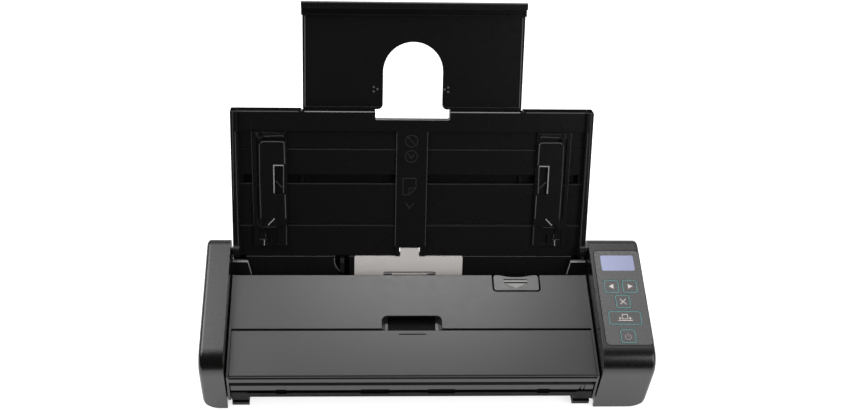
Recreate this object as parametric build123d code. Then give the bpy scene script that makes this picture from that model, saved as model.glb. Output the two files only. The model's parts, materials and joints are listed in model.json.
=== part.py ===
from build123d import *
import math
import os

# Sheet-fed document scanner with its input tray open and the tray's extension pulled out.
# Millimetres, +X to the viewer's right, +Y to the back, +Z up. The dimensions below are taken
# from the middle of the end caps' footprint on the desk; the finished part is then moved so that
# its origin is the middle of the bottom of the box around it.

# Overall size and the two end caps
overall_width = 316.4
overall_depth = 101.5
left_cap_width = 17.2
right_cap_width = 36.9
cap_back_height = 74.3      # where the slope and the back would meet before rounding
cap_slope = 11.6            # degrees
cap_front_overhang = 1.55   # how far the front leans out at the top of the front face
cap_wall = 2.2
cap_back_round = 7.5
cap_front_round = 15.0
cap_edge_round = 3.0
cap_foot_round = 12.0
cap_base_z = 0.6
origin_y = 43.0             # middle of the whole part's depth, tray open and extension out

# Bay between the caps
cover_side_gap = 1.1
tray_side_gap = 1.35
running_gap = 0.3
shaft_clearance = 0.05
seat_clearance = 0.02
guide_end_gap = 10.55       # from each cap to the ends of the paper guides

# Places of the caps and the bay; x of most pieces is counted from the paper's centre line
back_y = overall_depth / 2
cap_left_outer = -overall_width / 2
cap_left_inner = cap_left_outer + left_cap_width
cap_right_outer = overall_width / 2
cap_right_inner = cap_right_outer - right_cap_width
paper_x = (cap_left_inner + cap_right_inner) / 2
bay_half = (cap_right_inner - cap_left_inner) / 2
cover_half = bay_half - cover_side_gap
tray_half = bay_half - tray_side_gap
guide_half_width = bay_half - guide_end_gap
upper_guide_half = guide_half_width - 1.0

# Chassis, rear cover and feet
floor_z = 1.2
floor_thickness = 2.2
rear_cover_thickness = 2.2
rear_cover_top = 56.0
lip_top = 18.4
lip_bottom = 14.0
lip_y = -50.6
lip_wall = 1.6
floor_front_y = -38.6
foot_block_width = 12.0
foot_block_height = 19.0
foot_block_depth = 4.8
foot_block_front_y = -50.2
foot_radius = 5.0

# Paper path
path_radius = 28.0
exit_z = 19.2
guide_gap_below = 0.4
guide_gap_above = 0.8
lower_guide_thickness = 2.0
upper_guide_thickness = 1.6
guide_front_y = -48.8
wedge_top_x = guide_half_width - 1.6     # inner corner of each raised wall, at its top
wedge_foot_x = wedge_top_x - 2.4
wedge_outer_x = bay_half - 0.55
wedge_face_d = 2.75
wedge_top_w = -7.0
wedge_foot_w = -17.5
wedge_wall = 1.85
left_rib_insets = (14.1, 29.6, 45.6)
right_rib_insets = (19.6, 35.6, 48.6, 63.6)

# Pad module around the feed roller, and the paper lever beside it
module_low_x = -41.0
module_high_x = 39.2
module_low_w = -32.5
module_round = 1.2
tongue_x = -0.3
tongue_half = 6.9
tongue_top_w = 1.7
tongue_gap = 0.7
module_slot_half = 19.3     # slot above the feed roller and the bar across it
module_slot_w = -16.9
module_bar_half = 13.0
module_bar_w = -17.9
module_bar_width = 1.4
lever_x = -50.0
lever_half = 1.5
lever_slot_half = 5.2
lever_pivot_w = -8.5
lever_pivot_d = -7.0
lever_pin_radius = 1.2
lever_ear_width = 2.0
pad_width = 32.0
pad_low_w = -31.0
pad_high_w = -23.0

# Input tray, measured along the tray from its hinge axis (w) and square to it (d)
tray_lean = 29.3            # degrees from upright when open
tray_hinge_y = 43.5
tray_hinge_z = 64.0
paper_plane_d = -1.45
tray_outer_d = -8.63
tray_tail_w = -4.5
tray_band_low_w = 89.6
tray_top_w = 103.9
tray_rim_w = 104.9
tray_wall_width = 4.6
tray_wall_rise = 2.5
tray_recess = 1.5
tray_floor_thickness = 1.3
tray_back_thickness = 1.13
centre_strip_half = 11.0
tray_step_low_w = 19.6
tray_step_high_w = 76.3
tray_step_width = 0.8
tray_step_depth = 0.5
slot_low_w = 50.6
slot_high_w = 57.4
slot_outer_x = tray_half - 7.8
notch_half = 26.7
notch_low_w = 97.7
tray_pin_radius = 2.5
tray_ear_radius = 4.8

# Side guides and their fences
guide_width = 24.4
guide_outer_x = slot_outer_x - 7.5
guide_inner_x = guide_outer_x - guide_width
guide_low_w = 3.3
guide_high_w = 88.7
guide_thickness = 1.35
fence_width = 18.5
fence_axis_x = guide_outer_x - 5.3
fence_free_x = fence_axis_x - fence_width
fence_thickness = 2.0
fence_low_w = 19.6
fence_high_w = 82.2
fence_notch_low_w = 42.9
fence_notch_high_w = 64.2
fence_notch_depth = 8.5
fence_lift = 0.15
fence_pin_radius = 0.6
fence_pin_length = 1.6
fence_ear_width = 2.4
tick_places = (-fence_axis_x - 5.4, 55.3, 77.5, fence_axis_x + 0.8)

# Rack and pinion behind the tray floor
rack_module = 1.0
rack_pinion_teeth = 16
rack_front_d = -4.4
rack_thickness = 1.3
rack_bar_width = 3.4
pinion_post_radius = 2.5

# Extension
extension_half = 78.4
extension_front_d = -5.9
extension_thickness = 1.4
extension_low_w = 92.0
extension_tip_w = 180.7
extension_lip_w = 171.2
extension_lip_half = 79.2
extension_rail = 1.4
arch_half = 21.3
arch_spring_w = 131.4
arch_foot_w = 108.2
arch_foot_round = 3.6

# Front cover
cover_rear_y = 29.2
cover_rear_z = 53.5
cover_slope = 11.2
cover_skin = 2.2
cover_front_y = -50.9
cover_end_wall = 1.6
cover_hinge_y = -46.8
cover_hinge_z = 12.0
cover_pin_radius = 2.3
cover_ear_radius = 4.1
groove_rear_s = -44.3       # along the slope from the cover's rear edge
flap_rear_s = -45.7
flap_thickness = 2.4
flap_floor_depth = 6.0
flap_floor_skin = 1.6
flap_pin_radius = 0.8
flap_end_gap = 0.25
skirt_bottom_z = 30.9
skirt_top_z = 35.2
skirt_wall = 1.8
exit_bar_top_z = 26.6
exit_bar_bottom_z = 20.9
exit_bar_y = -50.1
exit_bar_grooves = ((12.35, 10.85), (9.25, 8.25))
recess_half = 21.6
recess_rear_s = -33.9
recess_depth = 6.5
recess_wall = 1.6
recess_round = 4.0
recess_wall_slope = 4.5     # how much narrower the recess is at its floor, at each end
flap_mark_half = 9.8
flap_mark_s = -48.8

# Release tab and latch
tab_centre_x = cover_half - 52.35
tab_width = 32.9
tab_length = 12.9
tab_thickness = 2.0
tab_gap = 1.25
tab_round = 1.6
tab_dip_half = 12.0
tab_dip_depth = 1.6
release_shaft_s = -15.0
release_shaft_d = -5.0
release_shaft_radius = 1.5
hook_width = 3.4
keeper_y = 25.9
keeper_z = 38.4
hanger_width = 3.0
inner_hanger_x = tab_centre_x - 32.7
spring_length = 8.0

# Rollers
shaft_radius = 3.0
roller_bite = 0.6
feed_roller_radius = 7.0
feed_roller_w = -27.0
feed_tyre_width = 14.0
feed_tyre_x = 9.5
transport_radius = 7.0
transport_angle = 20.0
transport_tyre_width = 20.0
transport_tyre_places = (-75.0, -25.0, 25.0, 75.0)
exit_radius = 5.5
exit_roller_y = -37.0
exit_end_tyre_x = guide_half_width - 27.9
exit_tyres = (
    (-exit_end_tyre_x, 7.0), (-26.8, 19.8), (20.3, 19.2), (exit_end_tyre_x, 8.6),
)
idler_radius = 4.0
exit_idler_radius = 3.6
exit_idler_width = 15.0
idler_pin_reach = 13.5
idler_ear_reach = 11.6
idler_shaft_radius = 1.5
exit_shaft_radius = 2.5

# Gear train beside the right side plate
gear_module = 1.0
gear_width = 4.5
gear_addendum = 0.8
gear_dedendum = 1.15
gear_backlash = 0.16
gear_post_radius = 2.0
roller_gear_teeth = 16
exit_gear_teeth = 12
idler_gear_teeth = 13
motor_pinion_teeth = 12
side_plate_x = guide_half_width + 0.9
side_plate_thickness = 1.2
side_plate_top_z = 43.5
gear_low_x = side_plate_x + 1.5
train_tilt = 8.0            # degrees by which the outer idlers sit above the roller shafts
motor_radius = 12.0
motor_length = 28.0
motor_shaft_radius = 1.0
bracket_thickness = 2.0

# Control panel on the right cap, measured down the slope (s) from its upper corner
panel_side_margin = 1.75
panel_width = right_cap_width - 2 * panel_side_margin
panel_centre_x = (cap_right_inner + cap_right_outer) / 2 + 0.75
panel_rear_s = -13.9
panel_front_s = -90.6
panel_thickness = 0.8
panel_round = 3.0
lcd_width = 24.2
lcd_length = 13.0
lcd_centre_s = -24.4
lcd_frame = 2.6
lcd_round = 1.3
key_size = 10.6
key_gap = 0.25
key_round = 1.6
key_travel = 0.4
key_height = 3.4
key_flange = 0.7
scan_key_width = 23.4
board_thickness = 1.6
control_board_depth = 8.6
switch_size = 6.0
switch_height = 3.2
control_board_half = panel_width / 2 - 1.8

# Each key: name, x from the panel's middle, place down the slope, width
keys = (
    ("key_left", -7.0, -43.9, key_size),
    ("key_right", 6.2, -43.9, key_size),
    ("key_cancel", -0.3, -56.3, key_size),
    ("key_scan", -0.6, -69.4, scan_key_width),
    ("key_power", -0.4, -83.7, key_size),
)

# Image sensors, boards and sockets
sensor_length = 2 * (guide_half_width - 4.6)
sensor_width = 14.0
sensor_height = 12.0
lower_sensor_y = -9.0
upper_sensor_y = -24.0
main_board_y = 46.4
port_board_z = 8.0
main_board_low_x = 41.6 - guide_half_width
main_board_high_x = guide_half_width - 36.6
main_board_low_z = 19.0
main_board_high_z = 49.0
chips = ((-45.0, 17.0, 14.0), (-10.0, 11.0, 10.0), (30.0, 19.0, 8.0))    # x, height, size
chip_height = 1.2
screw_radius = 1.3
screw_length = 4.2
power_x = cap_left_inner + 23.0
power_half = 4.6
power_height = 11.0
usb_x = power_x + 20.0
usb_half = 6.1
usb_height = 10.9
usb_mouth_width = 8.7
usb_mouth_height = 8.0
socket_depth = 14.0

# Worked-out places
tray_floor_d = paper_plane_d - tray_recess
tray_floor_back_d = tray_floor_d - tray_floor_thickness
tray_back_front_d = tray_outer_d + tray_back_thickness
slot_middle_w = (slot_low_w + slot_high_w) / 2
floor_top_z = floor_z + floor_thickness


def sine(angle):
    return math.sin(math.radians(angle))


def cosine(angle):
    return math.cos(math.radians(angle))


def polygon(points):
    """Closed flat outline that always runs anticlockwise."""
    following = points[1:] + points[:1]
    turning = sum(a[0] * b[1] - b[0] * a[1] for a, b in zip(points, following))
    return Polygon(*(points if turning > 0 else points[::-1]), align=None)


def outline(*corners):
    """Closed flat outline; a corner is (x, y) or (x, y, rounding radius)."""
    face = polygon([corner[:2] for corner in corners])
    for corner in corners:
        if len(corner) > 2 and corner[2] > 0:
            point = Vector(corner[0], corner[1])
            face = fillet(face.vertices().sort_by_distance(point)[0], corner[2])
    return face


def rounded_rectangle(x_low, x_high, y_low, y_high, radius):
    face = Rectangle(x_high - x_low, y_high - y_low)
    if radius > 0:
        face = fillet(face.vertices(), radius)
    return Pos((x_low + x_high) / 2, (y_low + y_high) / 2) * face


def prism(face, x_low, x_high):
    """Solid along X whose side view is the face, drawn as (y, z)."""
    return extrude(Plane.YZ.offset(x_low) * face, amount=x_high - x_low, dir=(1, 0, 0))


def front_prism(face, y_low, y_high):
    """Solid along Y whose front view is the face, drawn as (x, z)."""
    return extrude(Plane.XZ.offset(-y_high) * face, amount=y_high - y_low, dir=(0, -1, 0))


def plate(face, z_low, z_high):
    """Solid along Z whose plan is the face."""
    return extrude(Plane.XY.offset(z_low) * face, amount=z_high - z_low, dir=(0, 0, 1))


def block(x_low, x_high, y_low, y_high, z_low, z_high):
    middle = Pos((x_low + x_high) / 2, (y_low + y_high) / 2, (z_low + z_high) / 2)
    return middle * Box(x_high - x_low, y_high - y_low, z_high - z_low)


def rod(place, radius, x_low, x_high):
    """Round bar along X through the (y, z) place."""
    y, z = place
    return Pos((x_low + x_high) / 2, y, z) * Rot(0, 90, 0) * Cylinder(radius, x_high - x_low)


def tube(place, radius, bore, x_low, x_high):
    return rod(place, radius, x_low, x_high) - rod(place, bore, x_low - 1, x_high + 1)


# Tilted frames: x from the paper's centre line, y up the slope, z out of the surface
tray_frame = Plane(
    origin=(paper_x, tray_hinge_y, tray_hinge_z),
    x_dir=(1, 0, 0),
    z_dir=(0, -cosine(tray_lean), sine(tray_lean)),
).location
cover_frame = Plane(
    origin=(paper_x, cover_rear_y, cover_rear_z),
    x_dir=(1, 0, 0),
    z_dir=(0, -sine(cover_slope), cosine(cover_slope)),
).location
panel_frame = Plane(
    origin=(0, back_y, cap_back_height),
    x_dir=(1, 0, 0),
    z_dir=(0, -sine(cap_slope), cosine(cap_slope)),
).location


def tray_point(w, d):
    """(y, z) of a point given along and square to the open tray."""
    y = tray_hinge_y + w * sine(tray_lean) - d * cosine(tray_lean)
    z = tray_hinge_z + w * cosine(tray_lean) + d * sine(tray_lean)
    return (y, z)


def cover_point(s, d):
    """(y, z) of a point given along and square to the cover's top."""
    y = cover_rear_y + s * cosine(cover_slope) - d * sine(cover_slope)
    z = cover_rear_z + s * sine(cover_slope) + d * cosine(cover_slope)
    return (y, z)


def beside(x_low, x_high):
    """The two spans that mirror each other about the paper's centre line."""
    return ((paper_x + x_low, paper_x + x_high), (paper_x - x_high, paper_x - x_low))


# Paper path: down the tray's plane, round an arc and out flat at the front
path_centre_z = exit_z + path_radius
paper_top_y, paper_top_z = tray_point(0, paper_plane_d)
path_centre_y = paper_top_y - (
    path_radius - (path_centre_z - paper_top_z) * sine(tray_lean)
) / cosine(tray_lean)


def path_edges(offset, top_w, front_y):
    """Line, arc and line that run beside the paper, offset towards the cover's side."""
    radius = path_radius - offset
    top = tray_point(top_w, paper_plane_d + offset)
    start = (
        path_centre_y + radius * cosine(tray_lean),
        path_centre_z - radius * sine(tray_lean),
    )
    foot = (path_centre_y, path_centre_z - radius)
    end = (front_y, path_centre_z - radius)
    bend = RadiusArc(start, foot, radius)
    return top, end, [Line(top, start), bend, Line(foot, end)]


def path_sheet(near, far, top_w, front_y):
    """Side view of a sheet that follows the paper between two offsets."""
    near_top, near_end, near_edges = path_edges(near, top_w, front_y)
    far_top, far_end, far_edges = path_edges(far, top_w, front_y)
    closing = [Line(near_top, far_top), Line(near_end, far_end)]
    return make_face(near_edges + far_edges + closing)


# Shaft places as (y, z)
feed_shaft = tray_point(
    feed_roller_w, paper_plane_d - guide_gap_below - feed_roller_radius + roller_bite
)
transport_reach = path_radius + transport_radius - guide_gap_below
transport_shaft = (
    path_centre_y + transport_reach * sine(transport_angle),
    path_centre_z - transport_reach * cosine(transport_angle),
)
idler_reach = transport_reach - transport_radius - idler_radius - running_gap
idler_shaft = (
    path_centre_y + idler_reach * sine(transport_angle),
    path_centre_z - idler_reach * cosine(transport_angle),
)
exit_shaft = (exit_roller_y, exit_z + running_gap - exit_radius)
exit_idler_shaft = (exit_roller_y, exit_shaft[1] + exit_radius + exit_idler_radius + running_gap)


def polar(place, distance, angle):
    return (place[0] + distance * cosine(angle), place[1] + distance * sine(angle))


def meet(first, first_reach, second, second_reach, side):
    """The place at given reaches from two others, on the left (1) or right (-1) of the line."""
    dy = second[0] - first[0]
    dz = second[1] - first[1]
    apart = math.hypot(dy, dz)
    along = (first_reach**2 - second_reach**2 + apart**2) / (2 * apart)
    across = side * math.sqrt(first_reach**2 - along**2)
    return (
        first[0] + (along * dy - across * dz) / apart,
        first[1] + (along * dz + across * dy) / apart,
    )


def pitch_radius(teeth):
    return gear_module * teeth / 2


roller_to_roller = 2 * pitch_radius(roller_gear_teeth)
roller_to_idler = pitch_radius(roller_gear_teeth) + pitch_radius(idler_gear_teeth)
exit_to_idler = pitch_radius(exit_gear_teeth) + pitch_radius(idler_gear_teeth)
idler_to_idler = 2 * pitch_radius(idler_gear_teeth)
feed_idler = meet(feed_shaft, roller_to_roller, transport_shaft, roller_to_roller, 1)
rear_idler = polar(transport_shaft, roller_to_idler, 180 - train_tilt)
front_idler = polar(exit_shaft, exit_to_idler, train_tilt)
middle_idler = meet(rear_idler, idler_to_idler, front_idler, idler_to_idler, 1)
motor_shaft = polar(
    middle_idler, pitch_radius(idler_gear_teeth) + pitch_radius(motor_pinion_teeth), 90
)


def mesh_phase(first, first_teeth, first_phase, second, second_teeth):
    """Angle of a tooth of the second gear that puts it in mesh with the first."""
    direction = math.degrees(math.atan2(second[1] - first[1], second[0] - first[0]))
    share = (direction - first_phase) / (360 / first_teeth)
    return direction + 180 + (share + 0.5) * 360 / second_teeth


def involute_flank(teeth, module, addendum, backlash):
    """Points of one tooth flank as (radius, angle from the tooth's middle in degrees)."""
    pressure = 20
    pitch = module * teeth / 2
    base = pitch * cosine(pressure)
    half_at_pitch = math.degrees((math.pi * module / 2 - backlash) / 2 / pitch)
    roll = math.degrees(math.tan(math.radians(pressure))) - pressure
    steps = 5
    flank = []
    for step in range(steps + 1):
        radius = base + (pitch + addendum - base) * step / steps
        turn = math.sqrt(max(radius**2 / base**2 - 1, 0))
        involute = math.degrees(turn - math.atan(turn))
        flank.append((radius, half_at_pitch + roll - involute))
    return flank


def gear_face(teeth, module, addendum, dedendum, backlash, phase):
    """Spur gear outline about the origin; phase is the angle of one tooth's middle."""
    root = module * teeth / 2 - dedendum
    flank = involute_flank(teeth, module, addendum, backlash)
    if root < flank[0][0]:
        flank = [(root, flank[0][1])] + flank
    points = []
    for tooth in range(teeth):
        middle = phase + tooth * 360 / teeth
        for radius, spread in flank:
            points.append((radius * cosine(middle - spread), radius * sine(middle - spread)))
        for radius, spread in reversed(flank):
            points.append((radius * cosine(middle + spread), radius * sine(middle + spread)))
    return polygon(points)


def train_gear(place, teeth, phase, bore):
    face = gear_face(
        teeth, gear_module, gear_addendum * gear_module, gear_dedendum * gear_module,
        gear_backlash, phase,
    )
    low = paper_x + gear_low_x
    return prism(Pos(*place) * (face - Circle(bore)), low, low + gear_width)


# End caps


def cap_outline(base_z):
    """Side view of an end cap: sloped top, rounded corners, flat base."""
    front_top_y = -back_y - cap_front_overhang
    front_top_z = cap_back_height - (back_y - front_top_y) * sine(cap_slope) / cosine(cap_slope)
    front_base_y = -back_y - cap_front_overhang * (base_z - cap_base_z) / front_top_z
    return outline(
        (back_y, base_z),
        (back_y, cap_back_height, cap_back_round),
        (front_top_y, front_top_z, cap_front_round),
        (front_base_y, base_z),
    )


def cap_shell(x_inner, x_outer):
    """Hollow end cap, open underneath, with its lower outer corner well rounded."""
    side = 1 if x_outer > x_inner else -1
    x_low, x_high = min(x_inner, x_outer), max(x_inner, x_outer)
    body = prism(cap_outline(cap_base_z), x_low, x_high)
    outer_face = body.faces().sort_by(Axis.X)[-1 if side > 0 else 0]
    body = fillet(outer_face.edges(), cap_edge_round)
    top = cap_back_height + 5
    body &= front_prism(
        outline(
            (x_inner, cap_base_z), (x_inner, top), (x_outer, top),
            (x_outer, cap_base_z, cap_foot_round),
        ),
        -overall_depth, overall_depth,
    )
    cavity = prism(
        offset(cap_outline(cap_base_z - 2 * cap_wall), -cap_wall),
        x_low + cap_wall, x_high - cap_wall,
    )
    inner = x_inner + side * cap_wall
    outer = x_outer - side * cap_wall
    mouth = x_outer - side * cap_foot_round
    cavity_front = outline(
        (inner, cap_base_z + cap_wall), (inner, top), (outer, top),
        (outer, cap_base_z + cap_wall, cap_foot_round - cap_wall),
    ) + outline((inner, -top), (inner, top), (mouth, top), (mouth, -top))
    cavity &= front_prism(cavity_front, -overall_depth, overall_depth)
    floor_way = block(
        min(x_inner, inner) - 1, max(x_inner, inner) + 1,
        -back_y + cap_wall, back_y - cap_wall, -top, floor_top_z + running_gap,
    )
    bore = rod(
        (tray_hinge_y, tray_hinge_z), tray_pin_radius + shaft_clearance,
        min(x_inner, inner) - 1, max(x_inner, inner) + 1,
    )
    pin_end = paper_x + side * (cover_half - cover_end_wall)
    pin = rod(
        (cover_hinge_y, cover_hinge_z), cover_pin_radius, min(pin_end, inner), max(pin_end, inner)
    )
    return body - cavity - floor_way - bore + pin


def panel_face(margin):
    half = panel_width / 2 - margin
    return rounded_rectangle(
        panel_centre_x - half, panel_centre_x + half,
        panel_front_s + margin, panel_rear_s - margin, panel_round - margin,
    )


def key_face(x, s, width, margin):
    half = width / 2 + margin
    reach = key_size / 2 + margin
    middle = panel_centre_x + x
    return rounded_rectangle(middle - half, middle + half, s - reach, s + reach, key_round + margin)


def lcd_face(margin):
    half = lcd_width / 2 + margin
    reach = lcd_length / 2 + margin
    return rounded_rectangle(
        panel_centre_x - half, panel_centre_x + half,
        lcd_centre_s - reach, lcd_centre_s + reach, lcd_round,
    )


def panel_openings(depth):
    """Everything that passes through the panel: the display and the keys."""
    openings = plate(lcd_face(seat_clearance), -depth, 1)
    for name, x, s, width in keys:
        openings += plate(key_face(x, s, width, key_gap), -depth, 1)
    return openings


def left_end_cap():
    return cap_shell(cap_left_inner, cap_left_outer)


def right_end_cap():
    cap = cap_shell(cap_right_inner, cap_right_outer)
    cap -= panel_frame * plate(panel_face(0), -panel_thickness, 10)
    cap -= panel_frame * panel_openings(cap_wall * 2)
    cap += panel_frame * control_board_posts()
    low = cap_right_inner - 1
    cap -= rod(motor_shaft, motor_shaft_radius + 2.0, low, cap_right_inner + cap_wall + 1)
    return cap


def control_board_places():
    """Screw places of the control board as (x, s)."""
    reach = control_board_half - 2.4
    places = []
    for x in (panel_centre_x - reach, panel_centre_x + reach):
        for s in (panel_rear_s + 1.2, panel_front_s - 1.2):
            places.append((x, s))
    return places


def control_board_posts():
    """Posts between the cap's top and the control board."""
    posts = Part()
    for x, s in control_board_places():
        bore = Pos(x, s, 0) * Circle(screw_radius + seat_clearance)
        top = -cap_wall + 0.2
        posts += plate(Pos(x, s) * Circle(2.2), -control_board_depth, top)
        posts -= plate(bore, -control_board_depth - 1, -control_board_depth + screw_length - 1.2)
    return posts


def panel_overlay():
    return panel_frame * (plate(panel_face(0), -panel_thickness, 0) - panel_openings(5))


def lcd_display():
    """Clear window with the display's frame beneath the cap's top."""
    window = plate(lcd_face(0), -cap_wall - 1.0, -0.2)
    frame = plate(lcd_face(lcd_frame), -control_board_depth, -cap_wall - seat_clearance)
    return panel_frame * (window + frame)


def control_board():
    board = plate(
        rounded_rectangle(
            panel_centre_x - control_board_half, panel_centre_x + control_board_half,
            panel_front_s - 3.6, panel_rear_s + 3.6, 1.5,
        ),
        -control_board_depth - board_thickness, -control_board_depth,
    )
    switches = Part()
    for name, x, s, width in keys:
        half = switch_size / 2
        middle = panel_centre_x + x
        switches += plate(
            rounded_rectangle(middle - half, middle + half, s - half, s + half, 0.4),
            -control_board_depth, -control_board_depth + switch_height,
        )
    for x, s in control_board_places():
        hole = Pos(x, s) * Circle(screw_radius + seat_clearance)
        board -= plate(hole, -control_board_depth - 5, -control_board_depth + 1)
    return panel_frame * (board + switches)


def key_cap(x, s, width):
    """Key with a flange that holds it under the cap's top and a stem above its switch."""
    top = plate(key_face(x, s, width, 0), -key_height, 0)
    flange_top = -cap_wall - 0.1
    flange = plate(key_face(x, s, width, key_flange), -key_height, flange_top)
    stem_low = -control_board_depth + switch_height + key_travel + 0.15
    stem = Cylinder(1.5, -key_height - stem_low)
    stem = Pos(panel_centre_x + x, s, (stem_low - key_height) / 2) * stem
    return panel_frame * (top + flange + stem)


# Chassis and fixed inner pieces


def foot_block_span():
    outer = cover_half - cover_end_wall - 0.6
    return beside(outer - foot_block_width, outer)


def bottom_chassis():
    """Floor, front lip and the hollow blocks over the front feet."""
    inset = cap_foot_round + running_gap
    low_x = cap_left_outer + inset
    high_x = cap_right_outer - inset
    rear_y = back_y - rear_cover_thickness - 0.1
    body = block(low_x, high_x, floor_front_y, rear_y, floor_z, floor_top_z)
    lip = outline(
        (floor_front_y, floor_z), (lip_y, lip_bottom), (lip_y, lip_top),
        (lip_y + lip_wall, lip_top), (lip_y + lip_wall, lip_bottom + 1.0),
        (floor_front_y + 1.0, floor_top_z), (floor_front_y + 4.0, floor_top_z),
        (floor_front_y + 4.0, floor_z),
    )
    spans = foot_block_span()
    inner_low = spans[1][1]
    inner_high = spans[0][0]
    body += prism(lip, inner_low - 1, inner_high + 1)
    for x_low, x_high in spans:
        body += foot_block(x_low, x_high)
    body -= tyre_notches(lip_top - 1.1, lip_top + 1)
    return body + sensor_seats() + port_board_posts()


def foot_block(x_low, x_high):
    """Block above a front foot, with a shadow groove over its toe."""
    front = foot_block_front_y
    back = front + foot_block_depth
    side = outline(
        (floor_front_y + 2.0, floor_z), (front + 1.6, floor_z, 1.0), (front + 0.6, 6.0),
        (front + 2.4, 6.6), (front + 2.4, 9.4), (front, 10.2), (front, foot_block_height, 0.6),
        (back, foot_block_height), (back, floor_top_z), (floor_front_y + 2.0, floor_top_z),
    )
    return prism(side, x_low, x_high)


def sensor_seats():
    """Ribs that carry the lower image sensor."""
    ribs = Part()
    bottom = exit_z - guide_gap_below - sensor_height
    for x in (-80.0, 0.0, 80.0):
        ribs += block(
            paper_x + x - 3, paper_x + x + 3, lower_sensor_y - sensor_width / 2,
            lower_sensor_y + sensor_width / 2, floor_z + 0.5, bottom,
        )
    return ribs


def rubber_feet():
    feet = []
    front_y = -back_y + 8.5
    rear_y = back_y - 10.0
    block_span = foot_block_span()[0]
    reach = (block_span[0] + block_span[1]) / 2 - paper_x
    for x in (paper_x - reach, paper_x + reach):
        for y in (front_y, rear_y):
            feet.append(Pos(x, y, floor_z / 2) * Cylinder(foot_radius, floor_z))
    return feet


def rear_cover():
    """Back panel between the caps, with the socket windows."""
    low_x = cap_left_inner + running_gap
    high_x = cap_right_inner - running_gap
    inner_y = back_y - rear_cover_thickness
    panel = block(low_x, high_x, inner_y, back_y, cap_base_z, rear_cover_top)
    panel = fillet(panel.edges().filter_by(Axis.X).sort_by(Axis.Z)[-1], 1.0)
    panel -= front_prism(socket_window(power_x, power_half, power_height), inner_y - 1, back_y + 1)
    panel -= front_prism(socket_window(usb_x, usb_half, usb_height), inner_y - 1, back_y + 1)
    inner_face = main_board_y + board_thickness / 2
    for place in main_board_places():
        boss = Pos(*place) * Circle(3.0)
        bore = Pos(*place) * Circle(screw_radius + seat_clearance)
        panel += front_prism(boss, inner_face, inner_y + 0.5)
        panel -= front_prism(bore, inner_face - 1, inner_face - board_thickness + screw_length + 0.2)
    return panel


def main_board_places():
    """Screw places of the main board as (x, z)."""
    ends = (main_board_low_x + 5.0, main_board_high_x - 6.0)
    levels = (main_board_low_z + 4.0, main_board_high_z - 4.0)
    return [(paper_x + x, z) for x in ends for z in levels]


def socket_window(x, half, height):
    low = port_board_z + board_thickness
    return rounded_rectangle(x - half - 0.3, x + half + 0.3, low - 0.3, low + height + 0.3, 0.8)


def power_socket():
    low = port_board_z + board_thickness
    rear = back_y - 0.4
    shell = block(
        power_x - power_half, power_x + power_half, rear - socket_depth, rear,
        low, low + power_height,
    )
    middle_z = low + power_height / 2
    bore = Pos(power_x, rear - 5, middle_z) * Rot(90, 0, 0) * Cylinder(3.2, 10.1)
    pin = Pos(power_x, rear - 6, middle_z) * Rot(90, 0, 0) * Cylinder(1.0, 9.0)
    return shell - bore + pin


def usb_socket():
    low = port_board_z + board_thickness
    rear = back_y - 0.4
    shell = block(
        usb_x - usb_half, usb_x + usb_half, rear - socket_depth, rear, low, low + usb_height
    )
    middle_z = low + usb_height / 2
    mouth = block(
        usb_x - usb_mouth_width / 2, usb_x + usb_mouth_width / 2, rear - 10.0, rear + 1,
        middle_z - usb_mouth_height / 2, middle_z + usb_mouth_height / 2,
    )
    tongue = block(
        usb_x - 2.8, usb_x + 2.8, rear - 10.5, rear - 1.5,
        middle_z - 1.6, middle_z + 1.6,
    )
    return shell - mouth + tongue


def port_board():
    return block(
        power_x - 9, usb_x + 9, back_y - socket_depth - 3, back_y - rear_cover_thickness - 0.6,
        port_board_z, port_board_z + board_thickness,
    )


def port_board_posts():
    """Posts on the floor under the socket board."""
    posts = Part()
    for x in (power_x - 5, usb_x + 5):
        y = back_y - socket_depth
        posts += plate(Pos(x, y) * Circle(2.2), floor_top_z - 0.5, port_board_z)
    return posts


def main_board():
    """Upright board behind the feed roller with its chips and connectors."""
    half = board_thickness / 2
    board = block(
        paper_x + main_board_low_x, paper_x + main_board_high_x,
        main_board_y - half, main_board_y + half, main_board_low_z, main_board_high_z,
    )
    for x, z, size in chips:
        board += block(
            paper_x + x - size / 2, paper_x + x + size / 2, main_board_y - half - chip_height,
            main_board_y - half, main_board_low_z + z - size / 2, main_board_low_z + z + size / 2,
        )
    for place in main_board_places():
        bore = Pos(*place) * Circle(screw_radius + seat_clearance)
        board -= front_prism(bore, main_board_y - 3, main_board_y + 3)
    return board


def lower_guide():
    """Rear and lower side of the paper path, from under the tray to the exit."""
    near = -guide_gap_below
    far = near - lower_guide_thickness
    low = paper_x - guide_half_width
    high = paper_x + guide_half_width
    guide = prism(path_sheet(near, far, tray_tail_w - 0.7, guide_front_y), low, high)
    guide += throat_wedges()
    guide += lever_ears()
    guide -= module_window()
    guide -= lever_slot()
    for place in transport_tyre_places:
        guide -= tyre_window(transport_shaft, transport_radius, place, transport_tyre_width)
    for place, width in exit_tyres:
        guide -= tyre_window(exit_shaft, exit_radius, place, width)
    half = sensor_length / 2 + running_gap
    reach = sensor_width / 2 + running_gap
    guide -= block(
        paper_x - half, paper_x + half, lower_sensor_y - reach, lower_sensor_y + reach,
        exit_z - 8, exit_z + 2,
    )
    for x_low, x_high in foot_block_span():
        guide -= block(
            x_low - running_gap, x_high + 5, -60,
            foot_block_front_y + foot_block_depth + running_gap, 0, exit_z + 2,
        )
    return guide + throat_ribs()


def tyre_window(shaft, radius, place, width):
    """Cylinder slightly larger than a tyre, cut where the tyre comes through."""
    margin = 0.8
    half = width / 2 + margin
    return rod(shaft, radius + margin, paper_x + place - half, paper_x + place + half)


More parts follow.
